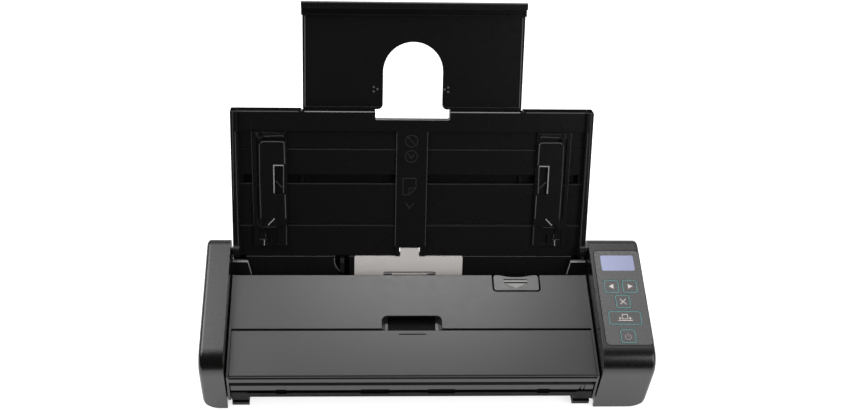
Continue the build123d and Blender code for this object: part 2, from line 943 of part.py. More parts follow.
def throat_wedges():
    """Raised funnel walls at both ends of the throat, with shelves out to the caps."""
    wedges = Part()
    base = paper_plane_d - guide_gap_below - 0.5
    shelf_low_x = upper_guide_half + 0.4
    chamfer = 1.0
    shelf_back = wedge_face_d - wedge_wall
    shelf_foot_w = wedge_foot_w - 1.0
    wall = outline(
        (wedge_top_w, base), (wedge_top_w, wedge_face_d - chamfer),
        (wedge_top_w - chamfer, wedge_face_d), (wedge_foot_w, wedge_face_d), (wedge_foot_w, base),
    )
    shelf = outline(
        (wedge_top_w, -1.5), (wedge_top_w, wedge_face_d - chamfer),
        (wedge_top_w - chamfer, wedge_face_d), (shelf_foot_w, wedge_face_d),
        (shelf_foot_w, shelf_back), (wedge_top_w - 1.4, shelf_back), (wedge_top_w - 1.4, -1.5),
    )
    for side in (-1, 1):
        plan = outline(
            (side * guide_half_width, wedge_top_w), (side * wedge_top_x, wedge_top_w),
            (side * wedge_foot_x, wedge_foot_w), (side * guide_half_width, wedge_foot_w),
        )
        low, high = sorted((side * wedge_foot_x, side * guide_half_width))
        wedges += tray_prism(wall, low, high) & tray_plate(plan, base, wedge_face_d)
        low, high = sorted((side * shelf_low_x, side * wedge_outer_x))
        wedges += tray_prism(shelf, low, high)
    return wedges


def throat_ribs():
    """Low ribs that the paper slides over in the throat."""
    ribs = Part()
    base = paper_plane_d - guide_gap_below
    places = [inset - guide_half_width for inset in left_rib_insets]
    places += [guide_half_width - inset for inset in right_rib_insets]
    for place in places:
        face = rounded_rectangle(place - 0.5, place + 0.5, -19.0, -10.0, 0.3)
        ribs += tray_frame * plate(face, base - 0.5, base + 0.25)
    return ribs


def module_window():
    top = tray_tail_w + 5
    margin = running_gap
    face = rounded_rectangle(
        module_low_x - margin, module_high_x + margin, module_low_w - margin, top, 0
    )
    return tray_frame * plate(face, paper_plane_d - 7, paper_plane_d + 4)


def feed_module():
    """Pale pad module around the feed roller, with a tongue that reaches into the tray's edge."""
    front = paper_plane_d - guide_gap_below + 0.1
    top_w = tray_tail_w - 0.45
    body = tray_plate(
        rounded_rectangle(module_low_x, module_high_x, module_low_w, top_w, module_round),
        front - lower_guide_thickness - 1.3, front,
    )
    back = paper_plane_d - guide_gap_below - lower_guide_thickness
    body += tray_plate(
        rounded_rectangle(
            module_low_x - 1.2, module_high_x + 1.2, module_low_w + 3, top_w - 1.5, 0.8
        ),
        back - 1.2, back,
    )
    body += tray_plate(
        rounded_rectangle(
            tongue_x - tongue_half, tongue_x + tongue_half, top_w - 4, tongue_top_w, module_round
        ),
        front - 1.2, front,
    )
    bar_low_w = module_bar_w - module_bar_width
    for w_low, w_high in ((module_low_w - 1, bar_low_w), (module_bar_w, module_slot_w)):
        body -= tray_plate(
            rounded_rectangle(-module_slot_half, module_slot_half, w_low, w_high, 0),
            front - 6, front + 2,
        )
    for low, high in ((module_bar_half, module_slot_half), (-module_slot_half, -module_bar_half)):
        body -= tray_plate(
            rounded_rectangle(low, high, bar_low_w - 0.1, module_bar_w + 0.1, 0), front - 1.5, front + 2
        )
    body -= tray_plate(
        rounded_rectangle(-module_slot_half, module_slot_half, bar_low_w - 0.1, module_bar_w + 0.1, 0),
        front - 6, front - 2.6,
    )
    return body


def lever_slot():
    """Slot round the lever, narrower towards its foot on the outer side."""
    top = tray_tail_w + 5
    low = lever_x - lever_slot_half
    high = lever_x + lever_slot_half
    foot_x = lever_x - lever_half - 0.7
    face = outline(
        (low, top), (low, -11.0, 3.0), (foot_x, -17.5, 1.0), (foot_x, -21.5), (high, -21.5), (high, top)
    )
    return tray_frame * plate(face, paper_plane_d - 2.7, paper_plane_d + 4)


def lever_ears():
    """Two ears under the guide that carry the paper lever's pin."""
    ears = Part()
    pivot = tray_point(lever_pivot_w, lever_pivot_d)
    top_d = paper_plane_d - guide_gap_below - 1.0
    arm = outline(
        tray_point(lever_pivot_w - 2.6, top_d), tray_point(lever_pivot_w + 2.6, top_d),
        tray_point(lever_pivot_w + 2.6, lever_pivot_d),
        tray_point(lever_pivot_w - 2.6, lever_pivot_d),
    )
    inner = lever_slot_half + running_gap
    for low in (lever_x + inner, lever_x - inner - lever_ear_width):
        x_low = paper_x + low
        ears += prism(arm, x_low, x_low + lever_ear_width)
        ears += rod(pivot, 2.6, x_low, x_low + lever_ear_width)
    bore = lever_pin_radius + shaft_clearance
    return ears - rod(pivot, bore, paper_x + lever_x - 10, paper_x + lever_x + 10)


def paper_lever():
    """Curved flag that the first sheet pushes down into its slot."""
    pivot = tray_point(lever_pivot_w, lever_pivot_d)
    x_low = paper_x + lever_x - lever_half
    x_high = paper_x + lever_x + lever_half
    flag = outline(
        tray_point(-7.1, lever_pivot_d), tray_point(-6.9, -2.6), tray_point(-9.4, -0.5),
        tray_point(-16.3, 1.4), tray_point(-17.0, 0.6), tray_point(-12.4, -2.6),
        tray_point(-10.0, lever_pivot_d),
    )
    reach = lever_slot_half + running_gap + lever_ear_width
    body = prism(flag, x_low, x_high) + rod(pivot, 2.2, x_low, x_high)
    return body + rod(pivot, lever_pin_radius, paper_x + lever_x - reach, paper_x + lever_x + reach)


def side_plate(side):
    """Steel plate that carries the roller shafts, with a keeper for the latch hook."""
    x = paper_x + side * side_plate_x
    half = side_plate_thickness / 2
    front = exit_shaft[0] - 6.0
    face = outline(
        (front + 5.0, floor_top_z, 1.0), (back_y - 4.5, floor_top_z, 1.0),
        (back_y - 4.5, side_plate_top_z, 2.0), (keeper_y + 4.1, side_plate_top_z, 2.0),
        (keeper_y - 4.9, keeper_z + 1.6, 2.0), (keeper_y - 15.9, keeper_z - 15.4, 4.0),
        (front, exit_z + running_gap, 3.0), (front, exit_z - 9.7, 2.0),
    )
    body = prism(face, x - half, x + half)
    for shaft, radius in (
        (feed_shaft, shaft_radius), (transport_shaft, shaft_radius), (exit_shaft, exit_shaft_radius)
    ):
        body -= rod(shaft, radius + shaft_clearance, x - 2, x + 2)
    keeper_end = x + side * (half + 1.0 + hook_width)
    return body + block(
        min(x, keeper_end), max(x, keeper_end), keeper_y, keeper_y + 2.0, keeper_z, keeper_z + 1.6
    )


def right_side_plate():
    """Right plate with the steel posts for the loose gears."""
    body = side_plate(1)
    high = paper_x + gear_low_x + gear_width
    for place in (feed_idler, rear_idler, middle_idler, front_idler):
        body += rod(place, gear_post_radius, paper_x + side_plate_x, high)
    return body


def feed_motor():
    """Small motor in the right cap whose shaft comes through the cap's inner wall."""
    low = cap_right_inner + cap_wall + bracket_thickness
    body = rod(motor_shaft, motor_radius, low, low + motor_length)
    body = fillet(body.edges().filter_by(GeomType.CIRCLE), 1.0)
    body += rod(motor_shaft, 3.0, low + motor_length - 0.5, low + motor_length + 1.5)
    return body + motor_bracket()


def motor_bracket():
    """Plate that holds the motor against the cap's wall."""
    low = cap_right_inner + cap_wall
    y, z = motor_shaft
    reach = motor_radius + 5
    face = rounded_rectangle(y - reach, y + reach, z - motor_radius, z + motor_radius, 4.0)
    face -= Pos(y, z) * Circle(motor_shaft_radius + 2.0)
    return prism(face, low, low + bracket_thickness)


def sensor_bar(y, glass_z, inwards):
    """Contact image sensor: body and glass; inwards is 1 when the body lies above its glass."""
    half = sensor_length / 2
    reach = sensor_width / 2
    far_z = glass_z + inwards * sensor_height
    return block(
        paper_x - half, paper_x + half, y - reach, y + reach, min(glass_z, far_z), max(glass_z, far_z)
    )


def lower_sensor():
    return sensor_bar(lower_sensor_y, exit_z - guide_gap_below, -1)


def upper_sensor():
    """Sensor on the cover, with end lugs that rest on the upper guide."""
    body = sensor_bar(upper_sensor_y, exit_z + guide_gap_above, 1)
    low = exit_z + guide_gap_above + upper_guide_thickness
    for x_low, x_high in beside(sensor_length / 2 - 1, upper_guide_half - 0.6):
        body += block(x_low, x_high, upper_sensor_y - 3, upper_sensor_y + 3, low, low + 2.0)
    return body


# Rollers


def roller_tyre(shaft, radius, bore, place, width):
    half = width / 2
    return tube(shaft, radius, bore + seat_clearance, paper_x + place - half, paper_x + place + half)


def roller_shaft(place, radius):
    """Steel shaft from outside the left plate to the end of its gear."""
    low = paper_x - side_plate_x - 2.5
    return rod(place, radius, low, paper_x + gear_low_x + gear_width)


def feed_tyres():
    return [
        roller_tyre(feed_shaft, feed_roller_radius, shaft_radius, x, feed_tyre_width)
        for x in (-feed_tyre_x, feed_tyre_x)
    ]


def transport_tyres():
    return [
        roller_tyre(transport_shaft, transport_radius, shaft_radius, x, transport_tyre_width)
        for x in transport_tyre_places
    ]


def exit_tyre_set():
    return [
        roller_tyre(exit_shaft, exit_radius, exit_shaft_radius, x, width) for x, width in exit_tyres
    ]


# Phases run outwards from the transport gear, so every pair is in mesh at rest
transport_phase = 0.0
feed_idler_phase = mesh_phase(
    transport_shaft, roller_gear_teeth, transport_phase, feed_idler, roller_gear_teeth
)
feed_phase = mesh_phase(
    feed_idler, roller_gear_teeth, feed_idler_phase, feed_shaft, roller_gear_teeth
)
rear_idler_phase = mesh_phase(
    transport_shaft, roller_gear_teeth, transport_phase, rear_idler, idler_gear_teeth
)
middle_idler_phase = mesh_phase(
    rear_idler, idler_gear_teeth, rear_idler_phase, middle_idler, idler_gear_teeth
)
front_idler_phase = mesh_phase(
    middle_idler, idler_gear_teeth, middle_idler_phase, front_idler, idler_gear_teeth
)
exit_phase = mesh_phase(
    front_idler, idler_gear_teeth, front_idler_phase, exit_shaft, exit_gear_teeth
)
motor_phase = mesh_phase(
    middle_idler, idler_gear_teeth, middle_idler_phase, motor_shaft, motor_pinion_teeth
)


def loose_gear(place, teeth, phase):
    return train_gear(place, teeth, phase, gear_post_radius + shaft_clearance)


def fixed_gear(place, teeth, phase, radius):
    return train_gear(place, teeth, phase, radius + seat_clearance)


def motor_pinion():
    """Pinion with the motor's shaft."""
    gear = train_gear(motor_shaft, motor_pinion_teeth, motor_phase, motor_shaft_radius / 2)
    low = paper_x + gear_low_x
    high = cap_right_inner + cap_wall + bracket_thickness - 0.1
    return gear + rod(motor_shaft, motor_shaft_radius, low, high)


# Front cover


def cover_prism(face, x_low, x_high):
    """Prism whose side view is drawn as (s, d) on the cover's slope."""
    return cover_frame * prism(face, x_low, x_high)


def cover_end_outline():
    front_top = cover_rear_z - (cover_rear_y - cover_front_y) * sine(cover_slope) / cosine(cover_slope)
    return outline(
        (cover_rear_y, cover_rear_z), (cover_front_y, front_top, 0.6), (cover_front_y, 24.0, 2.0),
        (cover_hinge_y - 4.6, cover_hinge_z + 2.0), (cover_hinge_y + 4.6, cover_hinge_z + 2.0),
        (cover_hinge_y + 7.0, 24.0, 6.0), (24.0, 38.0, 3.0), (29.0, 45.0, 2.0),
    )


def front_cover_shell():
    """Sloped cover: rear skin, floor under the flap, front skirt and end walls."""
    inner = cover_half - cover_end_wall
    rear_skin = outline(
        (0, 0, 0.5), (0, -5.2), (-1.8, -5.2), (-1.8, -cover_skin),
        (groove_rear_s + 1.8, -cover_skin), (groove_rear_s + 1.8, -flap_floor_depth),
        (-80.9, -flap_floor_depth), (-80.9, -flap_floor_depth + flap_floor_skin),
        (groove_rear_s, -flap_floor_depth + flap_floor_skin), (groove_rear_s, 0, 0.3),
    )
    body = cover_prism(rear_skin, -inner - 0.5, inner + 0.5)
    body += cover_prism(
        outline((0, 0, 0.5), (0, -cover_skin), (groove_rear_s, -cover_skin), (groove_rear_s, 0, 0.3)),
        -cover_half, cover_half,
    )
    skirt = rounded_rectangle(
        cover_front_y, cover_front_y + skirt_wall, skirt_bottom_z, skirt_top_z, 0.5
    )
    body += prism(skirt, paper_x - cover_half, paper_x + cover_half)
    for x_low, x_high in beside(inner, cover_half):
        body += prism(cover_end_outline(), x_low, x_high)
        body += rod((cover_hinge_y, cover_hinge_z), cover_ear_radius, x_low, x_high)
    body += finger_cup()
    body += shaft_hangers()
    body -= finger_recess()
    body -= tab_pocket()
    pin_reach = cover_pin_radius + shaft_clearance
    body -= rod(
        (cover_hinge_y, cover_hinge_z), pin_reach, paper_x - cover_half - 1, paper_x + cover_half + 1
    )
    body -= rod(
        flap_axis(), flap_pin_radius + shaft_clearance,
        paper_x - cover_half + 0.4, paper_x + cover_half - 0.4,
    )
    return body


def finger_face(margin):
    return rounded_rectangle(
        -recess_half - margin, recess_half + margin, groove_rear_s - 20, recess_rear_s + margin,
        recess_round + margin,
    ) & rounded_rectangle(
        -recess_half - margin, recess_half + margin, groove_rear_s, recess_rear_s + margin + 1, 0
    )


def finger_recess():
    """Recess whose end walls slope inwards to its floor."""
    half = recess_half - recess_wall_slope
    section = outline(
        (-recess_half, 1), (recess_half, 1), (recess_half, -1.0, 1.5), (half, -recess_depth),
        (-half, -recess_depth), (-recess_half, -1.0, 1.5),
    )
    length = 2 * (recess_rear_s - groove_rear_s)
    section = extrude(Plane.XZ.offset(-recess_rear_s) * section, amount=length)
    return cover_frame * (plate(finger_face(0), -recess_depth, 1) & section)


def finger_cup():
    """Walls and floor of the finger recess under the cover's skin."""
    return cover_frame * plate(finger_face(recess_wall), -recess_depth - recess_wall, -1.0)


def shaft_hangers():
    """Ribs under the skin that carry the release shaft."""
    hangers = Part()
    bore = release_shaft_radius + shaft_clearance
    face = outline(
        (release_shaft_s - 3.2, -1.5), (release_shaft_s + 3.2, -1.5),
        (release_shaft_s + 2.6, release_shaft_d - 2.6), (release_shaft_s - 2.6, release_shaft_d - 2.6),
    ) - Pos(release_shaft_s, release_shaft_d) * Circle(bore)
    outer = side_plate_x - 7.5
    for x in (-outer, -inner_hanger_x, inner_hanger_x, outer):
        hangers += cover_prism(face, x - hanger_width / 2, x + hanger_width / 2)
    return hangers


def tab_pocket():
    half = tab_width / 2 + tab_gap
    face = rounded_rectangle(
        tab_centre_x - half, tab_centre_x + half, -tab_length - tab_gap, 10, tab_round + tab_gap
    )
    return cover_frame * plate(face, -10, 2)


def release_tab():
    """Finger tab at the cover's rear edge, with its two arms."""
    half = tab_width / 2
    face = rounded_rectangle(
        tab_centre_x - half, tab_centre_x + half, -tab_length, -0.3, tab_round
    )
    dip_radius = (tab_dip_half**2 + tab_dip_depth**2) / (2 * tab_dip_depth)
    face -= Pos(tab_centre_x, -0.3 - tab_dip_depth + dip_radius) * Circle(dip_radius)
    tab = cover_frame * plate(face, -tab_thickness, 0)
    hub = release_shaft_radius + 1.0
    for x in (tab_centre_x - 10.0, tab_centre_x + 10.0):
        arm = outline(
            (-3.5, -1.0), (-3.5, -tab_thickness), (release_shaft_s, release_shaft_d - hub),
            (release_shaft_s, release_shaft_d + 0.6), (-tab_length + 0.6, -1.0),
        )
        tab += cover_prism(arm, x - 1.5, x + 1.5)
        centre = cover_point(release_shaft_s, release_shaft_d)
        tab += rod(centre, hub, paper_x + x - 1.5, paper_x + x + 1.5)
        tab -= rod(centre, release_shaft_radius + seat_clearance, paper_x + x - 3, paper_x + x + 3)
    return tab


def release_shaft():
    centre = cover_point(release_shaft_s, release_shaft_d)
    reach = side_plate_x + side_plate_thickness / 2 + 0.9 + hook_width
    return rod(centre, release_shaft_radius, paper_x - reach, paper_x + reach)


def latch_hooks():
    """Hooks on the ends of the release shaft, noses just short of the keepers."""
    y, z = cover_point(release_shaft_s, release_shaft_d)
    inner = side_plate_x + side_plate_thickness / 2 + 0.8
    nose_y = keeper_y - running_gap
    arm = outline(
        (y - 2.6, z - 1.6), (y + 1.6, z + 2.6), (nose_y - 0.9, keeper_z + 1.4),
        (nose_y - 0.9, keeper_z - 0.5), (nose_y, keeper_z - 0.9), (nose_y, keeper_z - 1.8),
        (nose_y - 3.4, keeper_z - 2.6),
    )
    hooks = []
    for x_low, x_high in beside(inner, inner + hook_width):
        hook = prism(arm, x_low, x_high) + rod((y, z), 2.5, x_low, x_high)
        hook -= rod((y, z), release_shaft_radius + seat_clearance, x_low - 1, x_high + 1)
        hooks.append(hook)
    return hooks


def release_spring():
    """Coil pack round the release shaft beside a hanger."""
    centre = cover_point(release_shaft_s, release_shaft_d)
    x = paper_x + inner_hanger_x + hanger_width / 2
    return tube(centre, 2.3, release_shaft_radius + 0.2, x, x + spring_length)


def flap_axis():
    half = flap_thickness / 2
    front_s = (cover_front_y + 0.2 - cover_rear_y) / cosine(cover_slope)
    return cover_point(front_s + half, -half)


def front_flap():
    """Lower half of the cover, which tips forward about pins in its front edge."""
    half = flap_thickness / 2
    front_s = (cover_front_y + 0.2 - cover_rear_y) / cosine(cover_slope)
    reach = cover_half - cover_end_wall - flap_end_gap
    body = cover_prism(
        outline(
            (front_s, 0, half - 0.01), (flap_rear_s, 0, 0.3), (flap_rear_s, -flap_thickness, 0.3),
            (front_s, -flap_thickness, half - 0.01),
        ),
        -reach, reach,
    )
    pin_reach = cover_half - 0.6
    body += rod(flap_axis(), flap_pin_radius, paper_x - pin_reach, paper_x + pin_reach)
    mark = plate(
        rounded_rectangle(-flap_mark_half, flap_mark_half, flap_mark_s - 0.35, flap_mark_s + 0.35, 0),
        -0.35, 1,
    )
    return body - cover_frame * mark


def exit_bar():
    """Visible bar above the paper exit, with notches over the exit tyres."""
    inner = cover_half - cover_end_wall
    bar = outline(
        (exit_bar_y, exit_bar_bottom_z, 0.4), (exit_bar_y, exit_bar_top_z, 0.6),
        (exit_bar_y + 3.0, exit_bar_top_z + 1.4), (exit_bar_y + 6.0, exit_bar_top_z + 1.4),
        (exit_bar_y + 6.0, exit_bar_top_z - 0.4), (exit_bar_y + 3.6, exit_bar_top_z - 0.6),
        (exit_bar_y + 1.8, exit_bar_top_z - 2.0), (exit_bar_y + 1.8, exit_bar_bottom_z),
    )
    body = prism(bar, paper_x - inner + 0.6, paper_x + inner - 0.6)
    for low_inset, high_inset in exit_bar_grooves:
        body -= block(
            paper_x + cover_half - low_inset, paper_x + cover_half - high_inset,
            exit_bar_y - 1, exit_bar_y + 1.0, 0, exit_bar_top_z - 0.8,
        )
    return body - tyre_notches(exit_bar_bottom_z - 1, exit_bar_bottom_z + 0.9)


def tyre_notches(low_z, high_z):
    """Blocks over the exit tyres, cut from the edges above and below the paper's way out."""
    notches = Part()
    for place, width in exit_tyres:
        low = paper_x + place - width / 2
        notches += block(low, low + width, lip_y - 1, lip_y + 3, low_z, high_z)
    return notches


def upper_guide():
    """Front and upper side of the paper path, carried by the cover."""
    near = guide_gap_above
    far = near + upper_guide_thickness
    low = paper_x - upper_guide_half
    high = paper_x + upper_guide_half
    front = exit_bar_y + 1.9
    guide = prism(path_sheet(near, far, -21.0, front), low, high)
    mouth = [
        cover_point(-0.2, -5.4), cover_point(-1.9, -5.4),
        tray_point(-22.4, paper_plane_d + far), tray_point(-20.6, paper_plane_d + near),
    ]
    guide += prism(outline(*mouth), low, high)
    for place in transport_tyre_places:
        guide -= tyre_window(idler_shaft, idler_radius, place, transport_tyre_width - 4)
    for place, width in exit_tyres:
        guide -= tyre_window(exit_idler_shaft, exit_idler_radius, place, width - 2)
    half = sensor_length / 2 + running_gap
    reach = sensor_width / 2 + running_gap
    guide -= block(
        paper_x - half, paper_x + half, upper_sensor_y - reach, upper_sensor_y + reach,
        exit_z - 2, exit_z + 8,
    )
    pad_half = pad_width / 2 + running_gap
    guide -= tray_frame * plate(
        rounded_rectangle(-pad_half, pad_half, pad_low_w - running_gap, pad_high_w + running_gap, 0),
        paper_plane_d, paper_plane_d + 12,
    )
    guide += idler_carriers()
    return guide


def separation_pad():
    """Rubber pad that faces the feed roller."""
    face = rounded_rectangle(-pad_width / 2 + 1, pad_width / 2 - 1, pad_low_w + 0.6, pad_high_w - 0.6, 0.5)
    low = paper_plane_d + 0.55
    return tray_frame * plate(face, low, low + 1.5)


def pad_holder():
    """Holder behind the separation pad, resting on the back of the upper guide."""
    low = paper_plane_d + 0.55 + 1.5
    rest = paper_plane_d + guide_gap_above + upper_guide_thickness
    inner = rounded_rectangle(-pad_width / 2, pad_width / 2, pad_low_w, pad_high_w, 0.8)
    outer = rounded_rectangle(
        -pad_width / 2 - 2, pad_width / 2 + 2, pad_low_w - 1.5, pad_high_w + 0.2, 0.8
    )
    return tray_frame * (plate(inner, low, rest + 2.0) + plate(outer, rest, rest + 2.0))


def idler_carriers():
    """Ears on the upper guide that hold the idler shafts."""
    ears = Part()
    for shaft, foot_z, places in (
        (idler_shaft, exit_z + 2.95, transport_tyre_places),
        (exit_idler_shaft, exit_z + 1.3, tuple(place for place, width in exit_tyres[1:3])),
    ):
        y, z = shaft
        for place in places:
            for side in (-1, 1):
                x = paper_x + place + side * idler_ear_reach
                ears += block(x - 1.2, x + 1.2, y - 2.6, y + 2.6, foot_z, z + 2.6)
        bore = idler_shaft_radius + shaft_clearance
        ears -= rod(shaft, bore, paper_x - upper_guide_half, paper_x + upper_guide_half)
    return ears


def idler_rollers(shaft, radius, places, width):
    """Idler shaft with its rollers in one piece."""
    rollers = []
    for place in places:
        x = paper_x + place
        roller = rod(shaft, idler_shaft_radius, x - idler_pin_reach, x + idler_pin_reach)
        roller += rod(shaft, radius, x - width / 2, x + width / 2)
        rollers.append(roller)
    return rollers


# Input tray


def tray_plate(face, d_low, d_high):
    """Plate whose plan is drawn as (x, w) on the tray."""
    return tray_frame * plate(face, d_low, d_high)


def tray_prism(face, x_low, x_high):
    """Prism whose side view is drawn as (w, d) on the tray."""
    return tray_frame * prism(face, x_low, x_high)


def notch_cut():
    face = rounded_rectangle(-notch_half, notch_half, notch_low_w, tray_rim_w + 10, 1.2)
    return tray_plate(face, -20, 10)


def tongue_notch():
    """Notch in the tray's lower edge round the pad module's tongue."""
    half = tongue_half + tongue_gap
    face = rounded_rectangle(
        tongue_x - half, tongue_x + half, tray_tail_w - 10, tongue_top_w + tongue_gap, 1.0
    )
    return tray_plate(face, tray_back_front_d, 10)


def tray_panel():
    """Front of the tray: recessed floor, top band, centre strip and side walls."""
    inner = tray_half - tray_wall_width
    tail = tray_tail_w
    floor_back = tray_floor_back_d
    body = tray_plate(
        rounded_rectangle(-inner - 0.5, inner + 0.5, tail, tray_top_w, 0), floor_back, tray_floor_d
    )
    body += tray_plate(
        rounded_rectangle(-inner - 0.5, inner + 0.5, tray_band_low_w, tray_top_w, 0),
        tray_floor_d - 0.2, paper_plane_d,
    )
    body += tray_plate(
        rounded_rectangle(-centre_strip_half, centre_strip_half, tail, tray_band_low_w + 0.5, 0),
        tray_floor_d - 0.2, paper_plane_d,
    )
    body += tray_prism(
        outline((tail, tray_floor_d), (tail, -4.3), (-2.4, tray_back_front_d),
                (-0.6, tray_back_front_d), (-2.2, floor_back)),
        -inner - 0.5, inner + 0.5,
    )
    wall_top = paper_plane_d + tray_wall_rise
    wall = outline(
        (tail, wall_top), (tail, -4.3), (-2.4, tray_back_front_d),
        (tray_rim_w, tray_back_front_d), (tray_top_w, wall_top, 1.0),
    )
    for low, high in ((inner, tray_half), (-tray_half, -inner)):
        body += tray_prism(wall, low, high)
        body += tray_prism(Circle(tray_ear_radius), low, high)
    gap = extension_lip_half + running_gap
    rim = outline(
        (tray_top_w - 0.5, tray_back_front_d), (tray_rim_w, tray_back_front_d),
        (tray_top_w, paper_plane_d), (tray_top_w - 0.5, paper_plane_d),
    )
    for low, high in ((gap, inner + 0.5), (-inner - 0.5, -gap)):
        body += tray_prism(rim, low, high)
    for w in (tray_step_low_w, tray_step_high_w):
        for low, high in ((centre_strip_half, inner), (-inner, -centre_strip_half)):
            body -= tray_plate(
                rounded_rectangle(low, high, w, w + tray_step_width, 0),
                tray_floor_d - tray_step_depth, tray_floor_d + 0.1,
            )
    for low, high in ((centre_strip_half, slot_outer_x), (-slot_outer_x, -centre_strip_half)):
        body -= tray_plate(
            rounded_rectangle(low, high, slot_low_w, slot_high_w, 0.5), -20, tray_floor_d + 1
        ) & tray_plate(
            rounded_rectangle(low, high, slot_low_w, slot_high_w, 0), floor_back - 1, paper_plane_d
        )
    for place in tick_places:
        body -= tray_plate(
            rounded_rectangle(place - 0.2, place + 0.2, 93.0, 99.0, 0),
            paper_plane_d - 0.25, paper_plane_d + 1,
        )
    post_low = tray_floor_d - tray_floor_thickness - rack_thickness - 0.15
    body += tray_frame * (
        Pos(0, slot_middle_w, (post_low + floor_back) / 2 + 0.1)
        * Cylinder(pinion_post_radius, floor_back - post_low + 0.2)
    )
    pin_end = bay_half + cap_wall - 0.2
    for low, high in ((tray_half - 0.5, pin_end), (-pin_end, 0.5 - tray_half)):
        body += tray_prism(Circle(tray_pin_radius), low, high)
    return body - notch_cut() - tongue_notch()


def tray_back():
    """Thin shell over the back of the tray, with runners for the extension."""
    body = tray_plate(
        rounded_rectangle(-tray_half, tray_half, 0, tray_rim_w, 1.0), tray_outer_d, tray_back_front_d
    )
    body -= tray_plate(
        rounded_rectangle(-extension_lip_half - running_gap, extension_lip_half + running_gap,
                          tray_top_w, tray_rim_w + 5, 0),
        -20, 10,
    )
    runner_low = extension_half + 0.3
    for low in (runner_low, -runner_low - 2.0):
        body += tray_plate(
            rounded_rectangle(low, low + 2.0, 8.0, tray_top_w - 0.5, 0),
            tray_back_front_d - 0.3, extension_front_d,
        )
    return body - notch_cut()


def side_guide(side):
    """Sliding base of one side guide with ears for its fence."""
    def span(low, high, w_low, w_high, radius=0.0):
        if side > 0:
            return rounded_rectangle(low, high, w_low, w_high, radius)
        return rounded_rectangle(-high, -low, w_low, w_high, radius)

    base_low = paper_plane_d - guide_thickness
    body = tray_plate(span(guide_inner_x, guide_outer_x, guide_low_w, guide_high_w, 0.8),
                      base_low, paper_plane_d)
    body += tray_plate(span(guide_outer_x - 2.6, guide_outer_x, guide_low_w, guide_high_w, 0.5),
                       base_low, paper_plane_d + 0.9)
    ear_half = fence_thickness / 2 + 0.55
    axis_d = paper_plane_d + fence_lift + fence_thickness / 2
    ear_gap = 0.3
    for w_low in (fence_low_w - ear_gap - fence_ear_width, fence_high_w + ear_gap):
        body += tray_plate(
            span(fence_axis_x - ear_half, fence_axis_x + ear_half, w_low, w_low + fence_ear_width),
            paper_plane_d - 0.3, axis_d + ear_half,
        )
    body += tray_plate(
        span(guide_inner_x + 1.9, fence_axis_x - ear_half, fence_high_w + 2.6, guide_high_w - 0.8),
        paper_plane_d - 0.3, paper_plane_d + 1.2,
    )
    middle = (guide_inner_x + guide_outer_x) / 2
    body -= tray_plate(
        span(middle - 4.8, middle + 4.7, 5.2, 16.4, 0.6), base_low + 0.45, paper_plane_d + 1
    )
    body += tray_plate(span(middle - 0.9, middle + 0.5, 4.0, 12.4), base_low, paper_plane_d + 0.8)
    bore = Pos(side * fence_axis_x, axis_d) * Circle(fence_pin_radius + shaft_clearance)
    body -= tray_frame * extrude(Plane.XZ.offset(-guide_high_w) * bore, amount=guide_high_w)
    body += tray_plate(
        span(guide_inner_x + 4.9, guide_outer_x - 4.5, slot_low_w + 0.3, slot_high_w - 0.3),
        rack_front_d, base_low + 0.3,
    )
    return body


def rack_teeth(side):
    """Rack along X in the tray's plane: side 1 runs below the pinion, side -1 above it."""
    pitch = math.pi * rack_module
    pitch_line = rack_module * rack_pinion_teeth / 2
    half = pitch / 4 - gear_backlash / 4
    slope = sine(20) / cosine(20)
    tip = gear_addendum * rack_module
    root = gear_dedendum * rack_module
    low_x = -8.0
    high_x = guide_outer_x - 3.5
    count = int((high_x - 6 - low_x) / pitch)
    points = []
    for tooth in range(count):
        middle = (tooth - 2 + 0.5) * pitch
        points += [
            (middle - half - root * slope, -root), (middle - half + tip * slope, tip),
            (middle + half - tip * slope, tip), (middle + half + root * slope, -root),
        ]
    bar = [(high_x, -root), (high_x, -root - rack_bar_width), (low_x, -root - rack_bar_width),
           (low_x, -root)]
    points = [point for point in points if point[0] > low_x] + bar
    face = Pos(0, slot_middle_w - pitch_line) * polygon(points)
    foot = rounded_rectangle(
        guide_inner_x + 2.9, high_x, slot_middle_w - pitch_line - root - rack_bar_width,
        slot_high_w - 0.3, 0,
    )
    face = face + foot
    if side < 0:
        face = Pos(0, 2 * slot_middle_w) * Rot(0, 0, 180) * face
    return face


def guide_rack(side):
    return tray_plate(rack_teeth(side), rack_front_d - rack_thickness, rack_front_d)


def guide_pinion():
    face = gear_face(
        rack_pinion_teeth, rack_module, gear_addendum * rack_module, gear_dedendum * rack_module,
        gear_backlash, 90,
    ) - Circle(pinion_post_radius + shaft_clearance)
    return tray_plate(Pos(0, slot_middle_w) * face, rack_front_d - rack_thickness, rack_front_d)


def side_fence(side):
    """Fence folded flat on its guide, with a finger notch and hinge pins."""
    half = fence_thickness / 2
    axis_d = paper_plane_d + fence_lift + half
    profile = outline(
        (fence_free_x, axis_d - half, 0.3), (fence_axis_x + half, axis_d - half, half - 0.01),
        (fence_axis_x + half, axis_d + half, half - 0.01), (fence_free_x, axis_d + half, 0.3),
    )
    if side < 0:
        profile = mirror(profile, about=Plane.YZ)
    length = fence_high_w - fence_low_w
    body = extrude(Plane.XZ.offset(-fence_high_w) * profile, amount=length)
    notch_ends = (side * (fence_free_x - 5), side * (fence_free_x + fence_notch_depth))
    notch_low, notch_high = sorted(notch_ends)
    body -= plate(
        rounded_rectangle(notch_low, notch_high, fence_notch_low_w, fence_notch_high_w, 0.6), -10, 10
    )
    pin_face = Pos(side * fence_axis_x, axis_d) * Circle(fence_pin_radius)
    pin_high = fence_high_w + fence_pin_length
    pin = extrude(Plane.XZ.offset(-pin_high) * pin_face, amount=length + 2 * fence_pin_length)
    return tray_frame * (body + pin)


